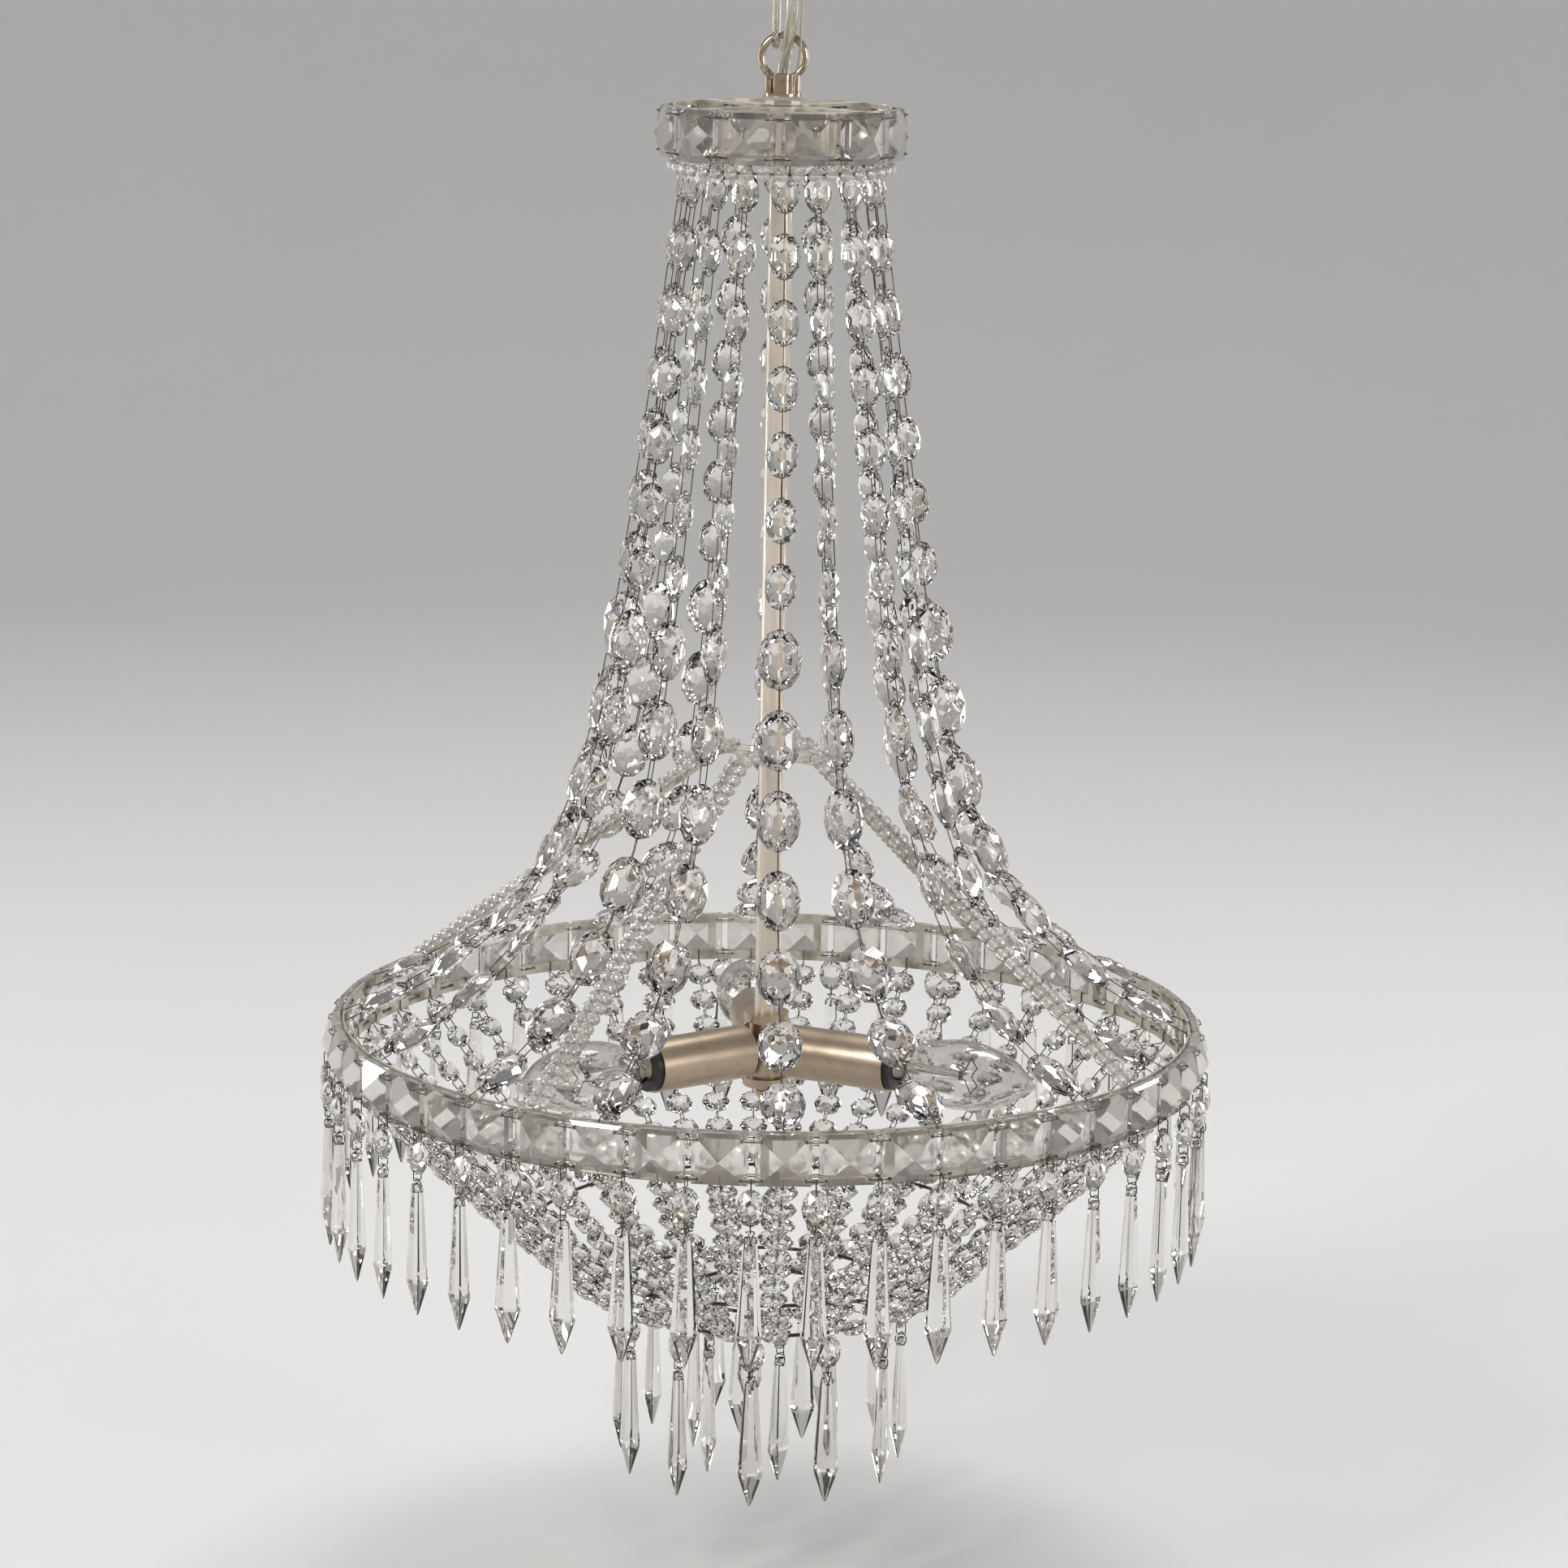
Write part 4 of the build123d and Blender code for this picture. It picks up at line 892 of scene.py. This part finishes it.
@dataclass
class Cords:
    """The clear lamp cord, the clear support cord through the loop and the bare ground wire.

    Heights, diameters and routes are in millimetres, and a lay's twist in radians per metre.
    """

    body: str = "body"
    ceiling: float = 27.0
    lamp_d: float = 5.0
    support_d: float = 3.4
    ground_d: float = 1.0
    conductors: Lay = Lay(2, 1.15, 90.0, 1.6)
    support_core: Lay = Lay(3, 0.45, 700.0, 0.8)
    lamp_route: tuple[Place, ...] = (
        (0.0, 0.0, -22.3), (0.0, 0.0, -14.8), (0.9, -3.8, -6.0), (2.8, -7.4, 3.0),
        (3.7, -9.6, 14.0), (3.7, -9.6, ceiling),
    )
    support_route: tuple[Place, ...] = (
        (-3.2, -3.6, ceiling), (-3.2, -3.6, -2.8), (-3.2, 3.6, -2.8), (-3.2, 3.6, ceiling),
    )
    ground_route: tuple[Place, ...] = (
        (4.6, -5.2, -23.1), (4.6, -5.2, -17.5), (6.4, -5.6, -11.0), (7.4, -6.4, -3.0),
        (7.3, -8.4, 6.0), (7.9, -10.2, 16.0), (7.9, -10.2, ceiling),
    )

    def length(self, route: Route) -> float:
        """Length of a route's smooth line, in metres."""
        places = route.line()
        return sum((b - a).length for a, b in zip(places, places[1:]))

    def wires(self, name: str, route: Route, lay: Lay,
              material: bpy.types.Material) -> list[bpy.types.Object]:
        """Puts the wires inside a cord.

        Args:
            name: the wires' name, before their number.
            route: the cord's line.
            lay: how they lie in it.
            material: their finish.

        Returns:
            The wires' pieces.
        """
        made: list[bpy.types.Object] = []
        for k in range(lay.count):
            label, start = f"{name}_{k + 1}", 2 * math.pi * k / lay.count
            mesh = route.strand(label, lay.offset * MM, start, lay.twist, lay.diameter / 2 * MM)
            made.append(new_piece(label, mesh, material, self.body))
        return made

    def place(self, route: Route, diameter: float, material: bpy.types.Material, slot: Slot,
              extras: Sequence[bpy.types.Object]) -> None:
        """Args:
            route: its line.
            diameter: its diameter in millimetres.
            material: its finish.
            slot: the record's material slot; not used.
            extras: pieces that lie in or on it; not used.
        """
        piece = route.curve(diameter / 2 * MM)
        piece.data.materials.append(material)
        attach(piece, self.body)
        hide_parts(route.node)
        length = self.length(route)
        diameter * MM
        LOG.info("%s rides on %s and is %.1f mm long", route.name, self.body, length / MM)

    def build(self, finishes: Finishes) -> None:
        """Builds the three cords and the wires inside them.

        Args:
            finishes: the chandelier's finishes.
        """
        lamp = Route("lamp_cord", self.lamp_route)
        support = Route("support_cord", self.support_route)
        ground = Route("ground_wire", self.ground_route)
        conductors = self.wires("lamp_conductor", lamp, self.conductors, finishes.strands)
        core = self.wires("support_core", support, self.support_core, finishes.strands)
        self.place(lamp, self.lamp_d, finishes.sheath, Slot.CORD, conductors)
        self.place(support, self.support_d, finishes.sheath, Slot.CORD, core)
        self.place(ground, self.ground_d, finishes.copper, Slot.COPPER, [])


# Sub-assemblies -------------------------------------------------------------------------------------


@dataclass
class Suspension:
    """Hanging loop, washer, nut, stem and ceiling fitting."""

    frame: dict[str, Any]

    def dress(self, finishes: Finishes) -> None:
        """Gives the pieces their finishes.

        Args:
            finishes: the chandelier's finishes.
        """
        dress(self.frame, finishes.loop, ("hanging_loop",))
        dress(self.frame, finishes.plate, ("loop_washer",))
        dress(self.frame, finishes.tube, ("stem_tube",))
        dress(self.frame, finishes.white, ("ceiling_fitting",))


@dataclass
class Frames:
    """Crown, ring, arms, hoops and the wire that ties everything."""

    frame: dict[str, Any]

    def dress(self, finishes: Finishes) -> None:
        """Gives the pieces their finishes."""
        dress(self.frame, finishes.plate, ("crown_frame", "ring_frame", "arm_frame"))
        dress(self.frame, finishes.wire, ("frame_staples", "crystal_links", "basket_hoops"))


@dataclass
class FixedCrystals:
    """Crystals that hang still: squares, beads, ovals and the basket."""

    frame: dict[str, Any]
    clear: tuple[str, ...] = ("small_ovals", "basket_beads", "drop_beads")
    pressed: tuple[str, ...] = ("crown_beads", "arm_beads")
    rose: tuple[str, ...] = ("large_ovals",)
    clouded: tuple[str, ...] = ("ring_squares",)
    smoky: tuple[str, ...] = ("crown_squares",)

    def dress(self, finishes: Finishes) -> None:
        """Gives the crystals their finishes.

        Args:
            finishes: the chandelier's finishes.
        """
        dress(self.frame, finishes.crystal, self.clear)
        dress(self.frame, finishes.rose, self.rose)
        dress(self.frame, finishes.pressed, self.pressed)
        dress(self.frame, finishes.clouded, self.clouded)
        dress(self.frame, finishes.smoky, self.smoky)


@dataclass
class SwingingPrisms:
    """Pairs of spear prisms on wire hooks."""

    frame: dict[str, Any]
    prism_span: float = 40 * MM
    facet_angle: float = 6.0
    wire_angle: float = 65.0

    def names(self) -> list[str]:
        """Names of the pairs' nodes, which are the names of their bodies."""
        return sorted(name for name in self.frame["nodes"] if "prisms" in name)

    def build(self, finishes: Finishes) -> None:
        """Splits each pair into its prisms and its hooks, each in its own finish.

        Args:
            finishes: the chandelier's finishes.
        """
        for name in self.names():
            parts = islands(self.frame["nodes"][name])
            prisms = [part for part in parts if span_of(part) > self.prism_span]
            hooks = [part for part in parts if span_of(part) <= self.prism_span]
            cut_mesh = smoothed(joined(f"{name}_cut", prisms), self.facet_angle)
            hook_mesh = smoothed(joined(f"{name}_hooks", hooks), self.wire_angle)
            cut = new_piece(f"{name}_cut", cut_mesh, finishes.crystal, name)
            hook = new_piece(f"{name}_hooks", hook_mesh, finishes.wire, name)
            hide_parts(name)
            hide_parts(name)
            LOG.info("%s has %d prisms and %d hooks", name, len(prisms), len(hooks))


@dataclass
class LampCluster:
    """Cluster body, finial, socket covers, inserts and bulbs."""

    frame: dict[str, Any]
    lamps: tuple[str, ...] = ("lamp_1", "lamp_2", "lamp_3")
    smooth_angle: float = 35.0

    def dress(self, finishes: Finishes) -> None:
        """Gives the fixed pieces their finishes."""
        dress(self.frame, finishes.cover, ("cluster_body", "cluster_finial", "socket_covers"))
        dress(self.frame, finishes.black, ("socket_inserts",))

    def build(self, finishes: Finishes) -> None:
        """Splits each bulb into envelope, screw shell, glass stem and filament.

        Args:
            finishes: the chandelier's finishes.
        """
        parts_in_order = (("envelope", finishes.glass), ("stem", finishes.glass), ("shell", finishes.shell),
                          ("filament", finishes.filament))
        for lamp in self.lamps:
            found = islands(self.frame["nodes"][lamp])
            groups = self.sorted_parts(found)
            for (part, material), mesh in zip(parts_in_order, groups):
                shaded = smoothed(mesh, self.smooth_angle)
                piece = new_piece(f"{lamp}_{part}", shaded, material, lamp)
                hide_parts(lamp)
            LOG.info("%s has %d parts", lamp, len(found))

    def sorted_parts(self, meshes: list[bpy.types.Mesh]) -> list[bpy.types.Mesh]:
        """Puts a bulb's parts in the order envelope, stem, shell, filament.

        Args:
            meshes: its four loose parts, longest first.

        Returns:
            The four parts.
        """
        def outward(mesh: bpy.types.Mesh) -> float:
            """Mean distance of a mesh from the stem's axis."""
            return sum(math.hypot(v.co.x, v.co.y) for v in mesh.vertices) / len(mesh.vertices)

        envelope, *rest = meshes
        shell, stem, filament = sorted(rest, key=outward)
        return [envelope, stem, shell, filament]


# Studio ---------------------------------------------------------------------------------------------


@dataclass(frozen=True)
class SoftLight:
    """A rectangular light: where it stands and its size, in metres, and its power in watts."""

    name: str
    place: Place
    size: tuple[float, float]
    power: float


@dataclass
class Studio:
    """Camera at the photograph's angle, pale floor and soft light, in metres and degrees."""

    frame_px: float = 1932.0
    focal_px: float = 5691.0
    sensor_mm: float = 36.0
    view_depth: float = 200.0
    camera_place: Place = (6.0 * MM, -2012.0 * MM, 98.6 * MM)
    pitch: float = -11.97
    roll: float = 1.06
    floor_z: float = -700.0 * MM
    floor_radius: float = 2.6
    wall_top: float = 3.0
    bend: float = 1.6
    bend_steps: int = 12
    sides: int = 72
    aim_z: float = -0.35
    floor_colour: Colour = (0.78, 0.775, 0.765)
    cloud: Grain = Grain(3.0, 2.0)
    cloud_shade: float = 0.97
    world_colour: Colour = (0.21, 0.21, 0.214)
    lights: tuple[SoftLight, ...] = (
        SoftLight("key", (-1.5, -1.7, 1.3), (0.7, 0.7), 32.0),
        SoftLight("fill", (2.0, -1.5, 0.2), (0.9, 0.9), 12.0),
        SoftLight("overhead", (0.3, 0.9, 2.2), (1.2, 1.2), 41.0),
        SoftLight("rim_left", (-1.8, 0.9, -0.1), (0.25, 1.4), 8.0),
        SoftLight("rim_right", (1.8, 0.9, -0.1), (0.25, 1.4), 8.0),
    )

    def camera(self) -> None:
        """Sets up the camera."""
        data = bpy.data.cameras.new("camera")
        data.sensor_width = self.sensor_mm
        data.lens = self.sensor_mm * self.focal_px / self.frame_px
        data.clip_end = self.view_depth
        camera = bpy.data.objects.new("camera", data)
        bpy.context.scene.collection.objects.link(camera)
        turn = Matrix.Rotation(math.radians(90.0 + self.pitch), 4, "X") @ Matrix.Rotation(
            math.radians(self.roll), 4, "Z")
        camera.matrix_world = Matrix.Translation(Vector(self.camera_place)) @ turn
        bpy.context.scene.camera = camera

    def outline(self) -> list[tuple[float, float]]:
        """Half section of the backdrop: the floor, the bend and the wall.

        Returns:
            Its radii and heights, from the floor outwards and up.
        """
        places = [(self.floor_radius / 2, self.floor_z), (self.floor_radius, self.floor_z)]
        for k in range(1, self.bend_steps + 1):
            turn = math.pi / 2 * k / self.bend_steps
            places.append((self.floor_radius + self.bend * math.sin(turn),
                           self.floor_z + self.bend * (1 - math.cos(turn))))
        places.append((self.floor_radius + self.bend, self.wall_top))
        return places

    def paper(self) -> bpy.types.Material:
        """Matt paper, clear from underneath.

        Returns:
            The material.
        """
        s = Shader("backdrop_paper")
        darker = tuple(self.cloud_shade * value for value in self.floor_colour)
        tone = s.mix(s.grain(self.cloud), self.floor_colour, darker)
        paper = s.node("ShaderNodeBsdfDiffuse", {}, {"Color": tone})
        clear = s.node("ShaderNodeBsdfTransparent", {}, {})
        under = s.node("ShaderNodeNewGeometry", {}, {}, "Backfacing")
        return s.closed(s.node("ShaderNodeMixShader", {}, {0: under, 1: paper, 2: clear}))

    def backdrop(self) -> None:
        """A pale floor that sweeps up into a wall all round, open above and clear from underneath."""
        angles = [2 * math.pi * k / self.sides for k in range(self.sides)]
        work = bmesh.new()
        rings = [
            [work.verts.new((r * math.cos(a), r * math.sin(a), z)) for a in angles]
            for r, z in self.outline()
        ]
        work.faces.new(rings[0])
        for near, far in zip(rings, rings[1:]):
            for k in range(self.sides):
                j = (k + 1) % self.sides
                work.faces.new((near[k], far[k], far[j], near[j])).smooth = True
        mesh = bpy.data.meshes.new("backdrop")
        work.to_mesh(mesh)
        work.free()
        mesh.materials.append(self.paper())
        sheet = bpy.data.objects.new("backdrop", mesh)
        bpy.context.scene.collection.objects.link(sheet)

    def hang(self, light: SoftLight) -> None:
        """Aims a soft light at the chandelier's middle, itself out of sight.

        Args:
            light: the light's name, place, size and power.
        """
        data = bpy.data.lights.new(light.name, "AREA")
        data.shape = "RECTANGLE"
        data.size, data.size_y = light.size
        data.energy = light.power
        panel = bpy.data.objects.new(light.name, data)
        aim = Vector((0.0, 0.0, self.aim_z)) - Vector(light.place)
        turn = aim.to_track_quat("-Z", "Y").to_matrix().to_4x4()
        panel.matrix_world = Matrix.Translation(Vector(light.place)) @ turn
        panel.visible_camera = False
        bpy.context.scene.collection.objects.link(panel)

    def build(self) -> None:
        """Builds the whole studio."""
        self.camera()
        self.backdrop()
        world = bpy.data.worlds.new("studio")
        world.use_nodes = True
        backdrop = world.node_tree.nodes["Background"]
        backdrop.inputs["Color"].default_value = (*self.world_colour, 1.0)
        backdrop.inputs["Strength"].default_value = 1.0
        bpy.context.scene.world = world
        for light in self.lights:
            self.hang(light)
        bpy.context.scene.view_settings.view_transform = "Standard"


def main() -> None:
    """Builds the chandelier's looks and its studio."""
    logging.basicConfig(level=logging.INFO, format="%(name)s: %(message)s")
    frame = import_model()
    Studio().build()
    finishes = Finishes.make()
    Cords().build(finishes)
    Suspension(frame).dress(finishes)
    Frames(frame).dress(finishes)
    FixedCrystals(frame).dress(finishes)
    SwingingPrisms(frame).build(finishes)
    lamps = LampCluster(frame)
    lamps.dress(finishes)
    lamps.build(finishes)


if __name__ == "__main__":
    main()
